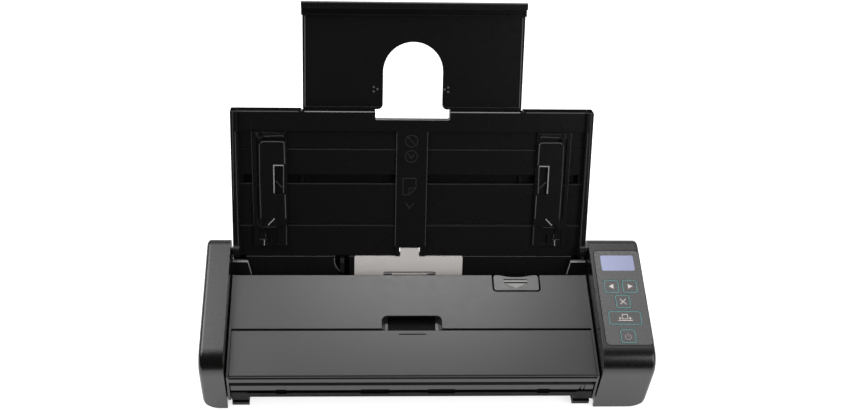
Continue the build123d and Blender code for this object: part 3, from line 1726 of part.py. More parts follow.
def arch_face():
    """Arched cut-out with its flared foot."""
    low = extension_low_w - 5
    straight = rounded_rectangle(-arch_half, arch_half, low, arch_spring_w, 0)
    crown = Pos(0, arch_spring_w) * Circle(arch_half)
    foot_half = notch_half + 0.4
    foot = rounded_rectangle(-foot_half, foot_half, low, arch_foot_w - arch_foot_round, 0)
    face = straight + crown + foot
    for side in (-1, 1):
        corner = rounded_rectangle(
            min(side * arch_half, side * (arch_half + arch_foot_round)),
            max(side * arch_half, side * (arch_half + arch_foot_round)),
            arch_foot_w - arch_foot_round - 0.1, arch_foot_w, 0,
        )
        corner -= Pos(side * (arch_half + arch_foot_round), arch_foot_w) * Circle(arch_foot_round)
        face += corner
    return face


def tray_extension():
    """Panel that pulls out of the tray, with side rails, an arched cut-out and a lip."""
    back = extension_front_d - extension_thickness
    body = tray_plate(
        rounded_rectangle(-extension_half, extension_half, extension_low_w, extension_tip_w - 1, 0),
        back, extension_front_d,
    )
    body -= tray_plate(
        rounded_rectangle(-extension_half + extension_rail, extension_half - extension_rail,
                          tray_top_w + 2.4, extension_lip_w, 2.0),
        extension_front_d - 0.5, extension_front_d + 1,
    )
    lip = outline(
        (extension_lip_w, back - 0.5), (extension_tip_w, back - 0.5, 1.0),
        (extension_tip_w, paper_plane_d, 1.2), (extension_tip_w - 4.6, paper_plane_d, 0.5),
        (extension_tip_w - 4.6, extension_front_d + 0.2), (extension_lip_w + 1.4, extension_front_d + 0.2),
        (extension_lip_w + 1.4, extension_front_d + 1.4), (extension_lip_w, extension_front_d + 1.4),
    )
    body += tray_prism(lip, -extension_lip_half, extension_lip_half)
    return body - tray_plate(arch_face(), -20, 10)


# Screws


def board_screw(turn):
    """Pan-head screw with a cross recess; the turn brings its seat to its place."""
    head = Pos(0, 0, 0.8) * Cylinder(screw_radius * 2, 1.6)
    for size in ((3.0, 0.7, 1.2), (0.7, 3.0, 1.2)):
        head -= Pos(0, 0, 1.4) * Box(*size)
    shank = Pos(0, 0, 0.25 - screw_length / 2) * Cylinder(screw_radius, screw_length + 0.5)
    return turn * (head + shank)


def board_screws():
    """Screws of the main board and of the control board."""
    seat_y = main_board_y - board_thickness / 2
    screws = [board_screw(Pos(x, seat_y, z) * Rot(90, 0, 0)) for x, z in main_board_places()]
    depth = control_board_depth + board_thickness
    for x, s in control_board_places():
        screws.append(board_screw(panel_frame * Pos(x, s, -depth) * Rot(180, 0, 0)))
    return screws


def export_all():
    os.makedirs("parts", exist_ok=True)
    nodes = {
        "left_end_cap": left_end_cap(),
        "right_end_cap": right_end_cap(),
        "bottom_chassis": bottom_chassis(),
        "rubber_feet": rubber_feet(),
        "rear_cover": rear_cover(),
        "power_socket": power_socket(),
        "usb_socket": usb_socket(),
        "circuit_boards": [main_board(), port_board()],
        "board_screws": board_screws(),
        "lower_guide": lower_guide(),
        "feed_module": feed_module(),
        "left_side_plate": side_plate(-1),
        "right_side_plate": right_side_plate(),
        "feed_motor": feed_motor(),
        "lower_sensor": lower_sensor(),
        "panel_overlay": panel_overlay(),
        "lcd_display": lcd_display(),
        "control_board": control_board(),
        "paper_lever": paper_lever(),
        "feed_shaft": roller_shaft(feed_shaft, shaft_radius),
        "feed_tyres": feed_tyres(),
        "feed_gear": fixed_gear(feed_shaft, roller_gear_teeth, feed_phase, shaft_radius),
        "transport_shaft": roller_shaft(transport_shaft, shaft_radius),
        "transport_tyres": transport_tyres(),
        "transport_gear": fixed_gear(
            transport_shaft, roller_gear_teeth, transport_phase, shaft_radius
        ),
        "exit_shaft": roller_shaft(exit_shaft, exit_shaft_radius),
        "exit_tyres": exit_tyre_set(),
        "exit_gear": fixed_gear(exit_shaft, exit_gear_teeth, exit_phase, exit_shaft_radius),
        "idler_gear_1": loose_gear(feed_idler, roller_gear_teeth, feed_idler_phase),
        "idler_gear_2": loose_gear(rear_idler, idler_gear_teeth, rear_idler_phase),
        "idler_gear_3": loose_gear(middle_idler, idler_gear_teeth, middle_idler_phase),
        "idler_gear_4": loose_gear(front_idler, idler_gear_teeth, front_idler_phase),
        "motor_pinion": motor_pinion(),
        "front_cover_shell": front_cover_shell(),
        "exit_bar": exit_bar(),
        "upper_guide": upper_guide(),
        "separation_pad": separation_pad(),
        "pad_holder": pad_holder(),
        "upper_sensor": upper_sensor(),
        "transport_idlers": idler_rollers(
            idler_shaft, idler_radius, transport_tyre_places, transport_tyre_width - 4
        ),
        "exit_idlers": idler_rollers(
            exit_idler_shaft, exit_idler_radius, [x for x, width in exit_tyres[1:3]],
            exit_idler_width,
        ),
        "release_tab": release_tab(),
        "release_linkage": [release_shaft()] + latch_hooks(),
        "release_spring": release_spring(),
        "front_flap": front_flap(),
        "tray_panel": tray_panel(),
        "tray_back": tray_back(),
        "right_guide": side_guide(1),
        "left_guide": side_guide(-1),
        "right_rack": guide_rack(1),
        "left_rack": guide_rack(-1),
        "rack_pinion": guide_pinion(),
        "right_fence": side_fence(1),
        "left_fence": side_fence(-1),
        "tray_extension": tray_extension(),
    }
    for name, x, s, width in keys:
        nodes[name] = key_cap(x, s, width)
    for name, shape in nodes.items():
        parts = shape if isinstance(shape, list) else [shape]
        move = Pos(0, -origin_y, 0)
        solids = [move * solid for part in parts for solid in part.solids()]
        export_step(solids[0] if len(solids) == 1 else Compound(solids), f"parts/{name}.step")


export_all()
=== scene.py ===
import json
import math
import bpy
import numpy as np
from mathutils import Matrix, Vector


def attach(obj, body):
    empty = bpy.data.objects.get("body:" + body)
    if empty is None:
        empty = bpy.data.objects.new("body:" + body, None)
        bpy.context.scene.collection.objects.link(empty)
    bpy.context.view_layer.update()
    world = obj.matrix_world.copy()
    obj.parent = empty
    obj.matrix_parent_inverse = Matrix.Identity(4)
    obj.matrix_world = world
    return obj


# Sheet-fed document scanner: finishes, printed and moulded marks, studio and camera.
# Lengths are written in millimetres and turned into metres as they are placed.

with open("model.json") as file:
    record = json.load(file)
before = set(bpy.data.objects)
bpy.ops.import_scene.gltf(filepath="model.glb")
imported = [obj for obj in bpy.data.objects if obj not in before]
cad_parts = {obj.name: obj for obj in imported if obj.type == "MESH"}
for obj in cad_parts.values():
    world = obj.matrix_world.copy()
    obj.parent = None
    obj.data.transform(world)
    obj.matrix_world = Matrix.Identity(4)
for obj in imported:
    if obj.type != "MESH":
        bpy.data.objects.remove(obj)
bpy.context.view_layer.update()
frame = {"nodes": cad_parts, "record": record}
nodes = frame["nodes"]

MM = 0.001
ORIGIN_Y = 43.0          # middle of the whole part's depth, tray open and extension out
PAPER_X = -9.85          # middle of the paper's path

# Tilted surfaces: each has a slope and the (y, z) of the edge that it starts from
TRAY_LEAN = math.radians(29.3)
TRAY_HINGE = (43.5, 64.0)
COVER_SLOPE = math.radians(11.2)
COVER_REAR = (29.2, 53.5)
CAP_SLOPE = math.radians(11.6)
CAP_REAR = (50.75, 74.3)

# Frames of the tilted surfaces: x across, v up the slope, d out of the surface


def on_tray(x, v, d):
    """Tray coordinates turned by its lean about the hinge axis and set on it."""
    y = TRAY_HINGE[0] + v * math.sin(TRAY_LEAN) - d * math.cos(TRAY_LEAN)
    z = TRAY_HINGE[1] + v * math.cos(TRAY_LEAN) + d * math.sin(TRAY_LEAN)
    return np.column_stack([x + PAPER_X, y - ORIGIN_Y, z]) * MM


def on_slope(x, v, d, rear, slope, shift):
    """Coordinates on a surface that falls forward from its rear edge at the given slope."""
    y = rear[0] + v * math.cos(slope) - d * math.sin(slope)
    z = rear[1] + v * math.sin(slope) + d * math.cos(slope)
    return np.column_stack([x + shift, y - ORIGIN_Y, z]) * MM


def on_cover(x, v, d):
    """Front cover coordinates: its slope from its rear edge, x from the paper's middle."""
    return on_slope(x, v, d, COVER_REAR, COVER_SLOPE, PAPER_X)


def on_panel(x, v, d):
    """End cap coordinates: the cap's slope from its rear edge, x from the part's middle."""
    return on_slope(x, v, d, CAP_REAR, CAP_SLOPE, 0.0)


def on_tray_end(w, d, x):
    """Tray coordinates with the side view first, for profiles carried across the tray."""
    return on_tray(x, w, d)


def on_cover_end(s, d, x):
    """Cover coordinates with the side view first, for profiles carried across the cover."""
    return on_cover(x, s, d)


def across_side(side, near, far):
    """Both ends of a length on one side of the middle (-1 or 1), the lower x first."""
    return sorted((side * near, side * far))


# Shapes, each a pair of arrays (points, faces) joined into one mesh at the end

MITRE_LIMIT = 0.4        # smallest cosine used for a corner, so that sharp ones stay short


def circle(x, y, radius, count=40, start=0.0, sweep=360.0):
    """Points at equal angles round a centre; a part circle has a point at both its ends."""
    steps = count if sweep == 360 else count - 1
    angles = np.radians(start + sweep * np.arange(count) / steps)
    return np.column_stack([x + radius * np.cos(angles), y + radius * np.sin(angles)])


def rounded(x_low, x_high, y_low, y_high, radius, steps=6):
    """Rectangle whose corners are quarter circles, anticlockwise."""
    quarter = np.radians(np.linspace(0, 90, steps))
    corners = (
        (x_high - radius, y_high - radius, 0), (x_low + radius, y_high - radius, 90),
        (x_low + radius, y_low + radius, 180), (x_high - radius, y_low + radius, 270),
    )
    rows = [
        np.column_stack([
            cx + radius * np.cos(quarter + math.radians(turn)),
            cy + radius * np.sin(quarter + math.radians(turn)),
        ])
        for cx, cy, turn in corners
    ]
    return np.vstack(rows)


def slab(outline, low, high, place):
    """A closed outline carried from one height to another, with a flat face at each end."""
    outline = np.asarray(outline, float)
    count = len(outline)
    points = np.vstack([
        place(outline[:, 0], outline[:, 1], np.full(count, low)),
        place(outline[:, 0], outline[:, 1], np.full(count, high)),
    ])
    first = np.arange(count)
    following = (first + 1) % count
    sides = np.column_stack([first, following, following + count, first + count])
    return points, [first[::-1].tolist(), (first + count).tolist()] + sides.tolist()


def stroke(path, width, low, high, place, closed=False):
    """A rectangular profile carried along a path: each corner is offset along its mitre."""
    path = np.asarray(path, float)
    count = len(path)
    ahead = np.roll(path, -1, axis=0) - path
    if not closed:
        ahead[-1] = ahead[-2]
    ahead /= np.linalg.norm(ahead, axis=1)[:, None]
    behind = np.roll(ahead, 1, axis=0)
    if not closed:
        behind[0] = ahead[0]
    across = np.column_stack([-(ahead + behind)[:, 1], (ahead + behind)[:, 0]])
    across /= np.linalg.norm(across, axis=1)[:, None]
    normal = np.column_stack([-ahead[:, 1], ahead[:, 0]])
    reach = width / 2 / np.clip((across * normal).sum(axis=1), MITRE_LIMIT, 1.0)
    left = path + across * reach[:, None]
    right = path - across * reach[:, None]
    corners = ((right, low), (right, high), (left, high), (left, low))
    points = np.vstack([place(c[:, 0], c[:, 1], np.full(count, h)) for c, h in corners])
    last = count if closed else count - 1
    first = np.arange(last)
    following = (first + 1) % count
    faces = []
    for side in range(4):
        a = side * count
        b = (side + 1) % 4 * count
        faces += np.column_stack([first + a, following + a, following + b, first + b]).tolist()
    if not closed:
        ends = np.arange(4) * count
        faces += [ends.tolist(), (ends + count - 1).tolist()[::-1]]
    return points, faces


def piece(name, shapes, body, material):
    """One object from several shapes, standing on a body of the frame."""
    points = []
    faces = []
    total = 0
    for shape_points, shape_faces in shapes:
        points.append(shape_points)
        faces += [[total + corner for corner in face] for face in shape_faces]
        total += len(shape_points)
    mesh = bpy.data.meshes.new(name)
    mesh.from_pydata(np.vstack(points).tolist(), [], faces)
    mesh.validate()
    mesh.update()
    made = bpy.data.objects.new(name, mesh)
    bpy.context.scene.collection.objects.link(made)
    made.data.materials.append(material)
    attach(made, body)
    return made


# Node trees of the finishes, the floor and the world

PATTERN_LOW = 0.3        # finishes use this middle part of a pattern's range
PATTERN_HIGH = 0.7
BEVEL_SAMPLES = 6
WHITE = (1, 1, 1, 1)


class Nodes:
    """A node tree with short ways to add and join its usual nodes."""

    def __init__(self, tree):
        self.tree = tree

    def add(self, kind, **values):
        """A new node with the given settings."""
        node = self.tree.nodes.new(kind)
        for key, value in values.items():
            setattr(node, key, value)
        return node

    def join(self, source, target):
        """Carries an output to an input."""
        self.tree.links.new(source, target)

    def feed(self, value, target):
        """Sets an input to a plain number, or joins another node's output to it."""
        if isinstance(value, float):
            target.default_value = value
        else:
            self.join(value, target)

    def combine(self, operation, first, second):
        """The product, difference or larger of two values, as the operation says."""
        node = self.add("ShaderNodeMath", operation=operation)
        self.feed(first, node.inputs[0])
        self.feed(second, node.inputs[1])
        return node.outputs[0]

    def axes(self, source):
        """The X, Y and Z parts of a vector."""
        node = self.add("ShaderNodeSeparateXYZ")
        self.join(source, node.inputs["Vector"])
        return node.outputs

    def carry(self, source, start, end, low=0.0, high=1.0, curve="LINEAR"):
        """Maps the range from start to end onto the range from low to high."""
        node = self.add("ShaderNodeMapRange", interpolation_type=curve)
        node.inputs["From Min"].default_value = start
        node.inputs["From Max"].default_value = end
        node.inputs["To Min"].default_value = low
        node.inputs["To Max"].default_value = high
        self.join(source, node.inputs["Value"])
        return node.outputs["Result"]


class Finish(Nodes):
    """A new material's node tree, with the patterns and relief that finishes share."""

    def __init__(self, name):
        self.material = bpy.data.materials.new(name)
        self.material.use_nodes = True
        super().__init__(self.material.node_tree)
        self.shader = self.tree.nodes["Principled BSDF"]
        self.place = self.add("ShaderNodeTexCoord").outputs["Object"]

    def noise(self, scale, detail=3.0, stretch=(1, 1, 1)):
        """Noise in Object coordinates; the scale is per metre."""
        turn = self.add("ShaderNodeMapping")
        turn.inputs["Scale"].default_value = stretch
        self.join(self.place, turn.inputs["Vector"])
        node = self.add("ShaderNodeTexNoise")
        node.inputs["Scale"].default_value = scale
        node.inputs["Detail"].default_value = detail
        self.join(turn.outputs["Vector"], node.inputs["Vector"])
        return node.outputs["Fac"]

    def cells(self, scale):
        """Distance to the nearest of many scattered points; the scale is per metre."""
        node = self.add("ShaderNodeTexVoronoi")
        node.inputs["Scale"].default_value = scale
        self.join(self.place, node.inputs["Vector"])
        return node.outputs["Distance"]

    def colour(self, source, dark, light):
        """Colour that runs between two tones with a pattern."""
        ramp = self.add("ShaderNodeValToRGB")
        ramp.color_ramp.elements[0].position = PATTERN_LOW
        ramp.color_ramp.elements[1].position = PATTERN_HIGH
        ramp.color_ramp.elements[0].color = (*dark, 1)
        ramp.color_ramp.elements[1].color = (*light, 1)
        self.join(source, ramp.inputs["Fac"])
        self.join(ramp.outputs["Color"], self.shader.inputs["Base Color"])

    def rough(self, source, low, high):
        """Roughness that runs from low to high with a pattern."""
        mapped = self.carry(source, PATTERN_LOW, PATTERN_HIGH, low, high)
        self.join(mapped, self.shader.inputs["Roughness"])

    def bump(self, source, strength, distance, edge=0.0):
        """Fine relief, over edges that shade as if broken to the given radius."""
        node = self.add("ShaderNodeBump")
        node.inputs["Strength"].default_value = strength
        node.inputs["Distance"].default_value = distance
        self.join(source, node.inputs["Height"])
        if edge:
            broken = self.add("ShaderNodeBevel", samples=BEVEL_SAMPLES)
            broken.inputs["Radius"].default_value = edge
            self.join(broken.outputs["Normal"], node.inputs["Normal"])
        self.join(node.outputs["Normal"], self.shader.inputs["Normal"])


# Finishes


def linear(hex_colour):
    """Linear colour of a hex value, by the standard screen curve: straight, then a power of 2.4."""
    values = np.array([int(hex_colour[i:i + 2], 16) for i in (0, 2, 4)]) / 255
    return tuple(np.where(values <= 0.04045, values / 12.92, ((values + 0.055) / 1.055) ** 2.4))


def shade(tone, factor):
    """A tone with each channel multiplied by the factor, at most 1."""
    return tuple(min(1.0, channel * factor) for channel in tone)


def moulded(name, tone, low, high, grain=2600.0, depth=0.000008, spread=0.08, sheen=0.5,
            edge=0.0004):
    """Moulded plastic: a fine spark-eroded grain, faint flow clouds and handling marks."""
    finish = Finish(name)
    finish.shader.inputs["Specular IOR Level"].default_value = sheen
    clouds = finish.noise(scale=9.0, detail=4.0)
    finish.colour(clouds, shade(tone, 1 - spread), shade(tone, 1 + spread))
    finish.rough(finish.noise(scale=240.0, detail=3.0), low, high)
    finish.bump(finish.noise(grain, detail=2.0), strength=0.15, distance=depth, edge=edge)
    return finish.material


def metal(name, tone, low, high, stretch, dark=0.88, light=1.08):
    """Drawn or rolled metal: fine lines along one way, with a slightly uneven shine."""
    finish = Finish(name)
    finish.shader.inputs["Metallic"].default_value = 1.0
    lines = finish.noise(scale=900.0, detail=3.0, stretch=stretch)
    finish.colour(finish.noise(scale=30.0, detail=3.0), shade(tone, dark), shade(tone, light))
    finish.rough(lines, low, high)
    finish.bump(lines, strength=0.2, distance=0.00002)
    return finish.material


def rubbery(name, tone, dusting=1.9):
    """Ground rubber: bloom as light as the dusting factor over a pitted surface."""
    finish = Finish(name)
    bloom = finish.noise(scale=120.0, detail=5.0)
    finish.colour(bloom, tone, shade(tone, dusting))
    finish.rough(bloom, low=0.7, high=0.92)
    finish.bump(finish.cells(scale=1800.0), strength=0.4, distance=0.00008)
    return finish.material


def printed(name, tone, low=0.4, high=0.5, thin=0.93):
    """Printed mark: ink that is as dark as the thin factor where it lies thinnest."""
    finish = Finish(name)
    finish.colour(finish.noise(scale=600.0, detail=2.0), shade(tone, thin), tone)
    finish.rough(finish.noise(scale=400.0, detail=2.0), low, high)
    return finish.material


def display_fading(name, left, right, left_x, right_x):
    """Display film whose colour turns a little darker from its left side to its right, x in metres.
    """
    finish = Finish(name)
    x = finish.axes(finish.place)["X"]
    finish.colour(finish.carry(x, left_x, right_x, PATTERN_LOW, PATTERN_HIGH), left, right)
    finish.rough(finish.noise(scale=45.0, detail=5.0), low=0.1, high=0.22)
    return finish.material


CAP = moulded("cap_plastic", linear("11100f"), 0.25, 0.28, depth=0.000004, spread=0.04, sheen=0.9)
COVER = moulded("cover_plastic", linear("292929"), 0.28, 0.33, spread=0.03, sheen=0.8)
TAB = moulded("tab_plastic", linear("444443"), 0.3, 0.36, sheen=1.0, edge=0.0003)
TRAY = moulded("tray_plastic", linear("151313"), 0.27, 0.31, depth=0.000004, edge=0.0003)
INNER = moulded("inner_plastic", linear("0b0a0a"), 0.45, 0.6, sheen=0.2, edge=0.0002)
GUIDE = moulded("guide_plastic", linear("151415"), 0.36, 0.44, sheen=0.1, edge=0.0002)
PAD = moulded("pad_plastic", linear("dad5d2"), 0.5, 0.65, spread=0.03, sheen=0.3)
FILM = {"grain": 3400.0, "depth": 0.000003, "spread": 0.05, "sheen": 1.0, "edge": 0.0002}
OVERLAY = moulded("overlay_film", linear("505050"), 0.26, 0.29, **FILM)
KEY = moulded("key_film", linear("4c4c4c"), 0.26, 0.29, **FILM)
NYLON = moulded("nylon", linear("d8d3c6"), 0.4, 0.5, spread=0.03)
BOARD = moulded("circuit_board", linear("0d1a13"), 0.3, 0.45, spread=0.2)
RUBBER = rubbery("roller_rubber", linear("262525"))
PAD_RUBBER = rubbery("pad_rubber", linear("4a4541"))
STEEL = metal("plated_steel", linear("b4b5b8"), 0.28, 0.42, (0.05, 1, 1))
SHAFT = metal("turned_steel", linear("c0c1c4"), 0.16, 0.28, (1, 0.05, 0.05))
DISPLAY = display_fading("display_face", linear("b2b8da"), linear("a2a6c8"), 0.124, 0.155)
TEAL = printed("teal_ink", linear("6ea6a8"))
ICON = printed("icon_ink", linear("e6dcd8"))
DIM_ICON = printed("dim_icon_ink", linear("a8989a"))
# Painted highlights: the four light line finishes below are lighter tones for edges, ridges and
# marks that catch the light
FAINT_HIGHLIGHT = moulded("painted_faint_highlight", linear("333232"), 0.4, 0.5, sheen=0.2, edge=0.0)
EDGE_HIGHLIGHT = moulded("painted_edge_highlight", linear("454344"), 0.4, 0.5, sheen=0.2, edge=0.0)
CREST_HIGHLIGHT = moulded("painted_crest_highlight", linear("5e5c5d"), 0.4, 0.5, sheen=0.2, edge=0.0)
BRIGHT_HIGHLIGHT = moulded("painted_bright_highlight", linear("9c999a"), 0.4, 0.5, sheen=0.3, edge=0.0)
LIGHT_TAB = moulded("tab_symbol", linear("9b9b98"), 0.36, 0.48, sheen=0.35, edge=0.0)
# Dark line: dark joints, and painted shade in the tab's grooves and in the finger recess
DARK = moulded("dark_line", linear("0c0c0c"), 0.5, 0.6, sheen=0.1, edge=0.0)
# Painted shade: a dark finish that reflects nothing, for the skins over the tray's rim
RIM_SHADE = moulded("rim_painted_shade", linear("161515"), 0.6, 0.7, sheen=0.0, edge=0.0)

FINISHES = {
    "cap_grey": CAP, "cover_grey": COVER, "tray_black": TRAY, "inner_black": INNER,
    "frame_grey": GUIDE, "pad_grey": PAD, "natural": NYLON, "rubber": RUBBER,
    "pad_rubber": PAD_RUBBER, "steel": STEEL, "shaft_steel": SHAFT, "board": BOARD,
    "overlay": OVERLAY, "display": DISPLAY, "key_grey": KEY,
}
slot_of = {part["node"]: part["material_slot"] for part in frame["record"]["subparts"]}
for name, node in nodes.items():
    node.data.materials.clear()
    node.data.materials.append(TAB if name == "release_tab" else FINISHES[slot_of[name]])

# Printed key outlines and symbols

SUNK = -0.02             # underside of a mark, just under the surface that carries it
PRINT = (SUNK, 0.05)
KEY_HALF_HEIGHT = 5.3
KEY_CORNER = 1.5
OUTLINE_INSET = 0.25
FINE = 0.42              # widths of the printed strokes
MEDIUM = 0.5
BOLD = 0.55
ARROW_TIP = 1.9
ARROW_BASE = 1.5
ARROW_HALF_HEIGHT = 2.0
RING_DROP = 0.4          # the power symbol's ring stands this far below its middle
RING_RADIUS = 2.1


def key_outline(x, s, width):
    """A rounded frame just inside the edge of a key whose middle is at (x, s)."""
    half = width / 2 - OUTLINE_INSET
    reach = KEY_HALF_HEIGHT - OUTLINE_INSET
    line = rounded(x - half, x + half, s - reach, s + reach, KEY_CORNER)
    return [stroke(line, MEDIUM, *PRINT, on_panel, closed=True)]


def drawn(paths, x, s):
    """Printed strokes, each a width and the points of a path about the middle (x, s)."""
    return [
        stroke([(x + u, s + v) for u, v in path], width, *PRINT, on_panel)
        for width, path in paths
    ]


def arrow_symbol(x, s, way):
    """A filled triangle that points left (way 1) or right (way -1)."""
    base = x + ARROW_BASE * way
    corners = [
        (x - ARROW_TIP * way, s), (base, s + ARROW_HALF_HEIGHT), (base, s - ARROW_HALF_HEIGHT),
    ]
    return [slab(corners[::-1] if way > 0 else corners, *PRINT, on_panel)]


def cross_symbol(x, s):
    """Two strokes from corner to corner of a square."""
    return drawn([
        (BOLD, [(-2.1, 2.1), (2.1, -2.1)]),
        (BOLD, [(-2.1, -2.1), (2.1, 2.1)]),
    ], x, s)


def power_symbol(x, s):
    """A ring that is open at the top, with an upright stroke in the opening."""
    ring = circle(x, s - RING_DROP, RING_RADIUS, count=28, start=125, sweep=290)
    upright = drawn([(MEDIUM, [(0.0, -0.3), (0.0, 2.3)])], x, s)
    return [stroke(ring, MEDIUM, *PRINT, on_panel)] + upright


def page_symbol(x, s):
    """A sheet above a slot, with a short arrow that points into it at each side."""
    sheet = rounded(x - 1.9, x + 1.9, s - 0.9, s + 2.6, radius=0.3)
    return [stroke(sheet, FINE, *PRINT, on_panel, closed=True)] + drawn([
        (BOLD, [(-5.2, -2.1), (5.2, -2.1)]),
        (FINE, [(-3.6, 0.7), (-3.6, -1.1)]),
        (FINE, [(-4.4, -0.3), (-3.6, -1.1), (-2.8, -0.3)]),
        (FINE, [(3.6, 0.7), (3.6, -1.1)]),
        (FINE, [(2.8, -0.3), (3.6, -1.1), (4.4, -0.3)]),
    ], x, s)


# Each entry: key, its body, then the middle and the width of its outline
KEYS = (
    ("key_left", "button_left", 133.5, -43.9, 10.6),
    ("key_right", "button_right", 146.7, -43.9, 10.6),
    ("key_cancel", "button_cancel", 140.2, -56.3, 10.6),
    ("key_scan", "button_scan", 139.9, -69.4, 23.4),
    ("key_power", "button_power", 140.1, -83.7, 10.6),
)
SYMBOLS = {
    "key_left": (arrow_symbol(133.4, -43.9, 1), ICON),
    "key_right": (arrow_symbol(146.9, -43.9, -1), ICON),
    "key_cancel": (cross_symbol(140.2, -56.3), ICON),
    "key_scan": (page_symbol(139.9, -69.2), ICON),
    "key_power": (power_symbol(140.1, -83.7), DIM_ICON),
}
for key, body, x, s, width in KEYS:
    piece(key + "_outline", key_outline(x, s, width), body, TEAL)
    shapes, ink = SYMBOLS[key]
    piece(key + "_symbol", shapes, body, ink)

# Dark joint line round the panel overlay

PANEL_X = 140.5
PANEL_HALF = 16.7
PANEL_FRONT = -90.6
PANEL_BACK = -13.9
joint = rounded(PANEL_X - PANEL_HALF, PANEL_X + PANEL_HALF, PANEL_FRONT, PANEL_BACK, radius=3.0)
joint_line = stroke(joint, width=0.45, low=SUNK, high=0.03, place=on_panel, closed=True)
piece("overlay_edge", [joint_line], "base", DARK)

# Marks on the release tab: two grooves drawn as dark strokes of painted shade, and a bar over a
# triangle

TAB_X = 77.2
TAB_HALF = 8.6
TRIANGLE_HALF = 8.1
TRIANGLE_BASE = -7.3
TRIANGLE_TIP = -11.2


def tab_bar(v, width, high):
    """A straight mark across the tab."""
    return stroke([(TAB_X - TAB_HALF, v), (TAB_X + TAB_HALF, v)], width, SUNK, high, on_cover)


triangle = [
    (TAB_X - TRIANGLE_HALF, TRIANGLE_BASE), (TAB_X, TRIANGLE_TIP),
    (TAB_X + TRIANGLE_HALF, TRIANGLE_BASE),
]
tab_groove_shade = [tab_bar(-4.05, width=0.8, high=0.05), tab_bar(-6.65, width=0.85, high=0.05)]
tab_symbol = [
    tab_bar(-5.3, width=1.5, high=0.12),
    slab(triangle, low=SUNK, high=0.14, place=on_cover),
]
piece("tab_groove_shade", tab_groove_shade, "release", DARK)
piece("tab_symbol", tab_symbol, "release", LIGHT_TAB)

# Painted shade in the finger recess: a dark sheet over its floor and its rear wall, without the end
# walls

RECESS_SHADE_HALF = 17.0
recess_shade_outline = [
    (-33.92, -6.48), (-33.92, -0.9), (-34.02, -0.9),
    (-34.02, -6.42), (-44.2, -6.42), (-44.2, -6.48),
]
recess_shade_shape = slab(recess_shade_outline, -RECESS_SHADE_HALF, RECESS_SHADE_HALF, on_cover_end)
piece("recess_painted_shade", [recess_shade_shape], "cover", DARK)

# Painted highlights on the recess's sloping end walls, where they catch the light

RECESS_HALF = 21.6
RECESS_FLOOR_HALF = 17.1
RECESS_WALL_TOP = -1.0
RECESS_WALL_DEPTH = 5.5
WALL_NORMAL = (0.77, 0.63)      # how far across and how far out of the cover


def on_recess_end(way):
    """The frame of one sloping end wall, on the left (way -1) or the right (way 1)."""
    def placed(u, s, h):
        """From the wall's top (u 0) to the floor (u 1), s up the cover, h out of the wall."""
        half = RECESS_HALF - (RECESS_HALF - RECESS_FLOOR_HALF) * u - WALL_NORMAL[0] * h
        out = RECESS_WALL_TOP - RECESS_WALL_DEPTH * u + WALL_NORMAL[1] * h
        return on_cover(way * half, s, out)
    return placed


RECESS_END_HIGHLIGHTS = (
    ("low", [(0.5, -44.1), (0.97, -44.1), (0.97, -37.9), (0.86, -36.9), (0.66, -38.0)], BRIGHT_HIGHLIGHT),
    ("high", [(0.04, -44.1), (0.49, -44.1), (0.62, -38.2), (0.4, -39.4), (0.1, -41.0)], CREST_HIGHLIGHT),
)
for side, way in (("left", -1), ("right", 1)):
    for part, strip, finish in RECESS_END_HIGHLIGHTS:
        shape = slab(strip[::way], low=-0.01, high=0.06, place=on_recess_end(way))
        piece(f"recess_end_{side}_{part}", [shape], "cover", finish)

# Dark inlay of the flap's mark

FLAP_MARK = [(-9.8, -48.8), (9.8, -48.8)]
flap_mark = stroke(FLAP_MARK, width=0.75, low=-0.25, high=0.03, place=on_cover)
piece("flap_mark", [flap_mark], "flap", DARK)

# Painted highlights on the throat's edges, where they catch the light: its end shelves, the funnel
# walls and the lever's slot

SHELF_NEAR = 119.0
SHELF_FAR = 130.2
FUNNEL_NEAR = 116.6
WEDGE_W = -7.0
WEDGE_D = 1.75
chamfer_highlight = [
    (WEDGE_W, WEDGE_D), (WEDGE_W + 0.07, WEDGE_D + 0.05),
    (WEDGE_W - 0.97, WEDGE_D + 1.09), (WEDGE_W - 1.0, WEDGE_D + 1.0),
]
throat_highlights = []
for way in (-1, 1):
    throat_highlights.append(slab(chamfer_highlight, *across_side(way, SHELF_NEAR, SHELF_FAR), on_tray_end))
    funnel_wall_highlight = [(way * SHELF_NEAR, -8.0), (way * FUNNEL_NEAR, -17.4)]
    throat_highlights.append(stroke(funnel_wall_highlight, width=0.6, low=2.73, high=2.81, place=on_tray))
piece("throat_edge_highlights", throat_highlights, "base", BRIGHT_HIGHLIGHT)
slot_edge_highlight = [(-55.9, -6.0), (-55.7, -10.4), (-54.4, -13.4), (-52.4, -15.6), (-49.6, -17.8)]
slot_highlight_line = stroke(slot_edge_highlight, width=0.8, low=-1.87, high=-1.78, place=on_tray)
piece("lever_slot_highlight", [slot_highlight_line], "base", CREST_HIGHLIGHT)

# Painted highlight lines on the edges of the tray, its guides, fences and extension, where moulded
# edges catch the light

WALL_D = 1.05            # heights above the tray's plane
FENCE_D = 0.7
PAPER_D = -1.45
FLOOR_D = -2.95
GUIDE_EDGE_D = -0.25
EXTENSION_D = -5.9
LINE_HEIGHT = 0.06

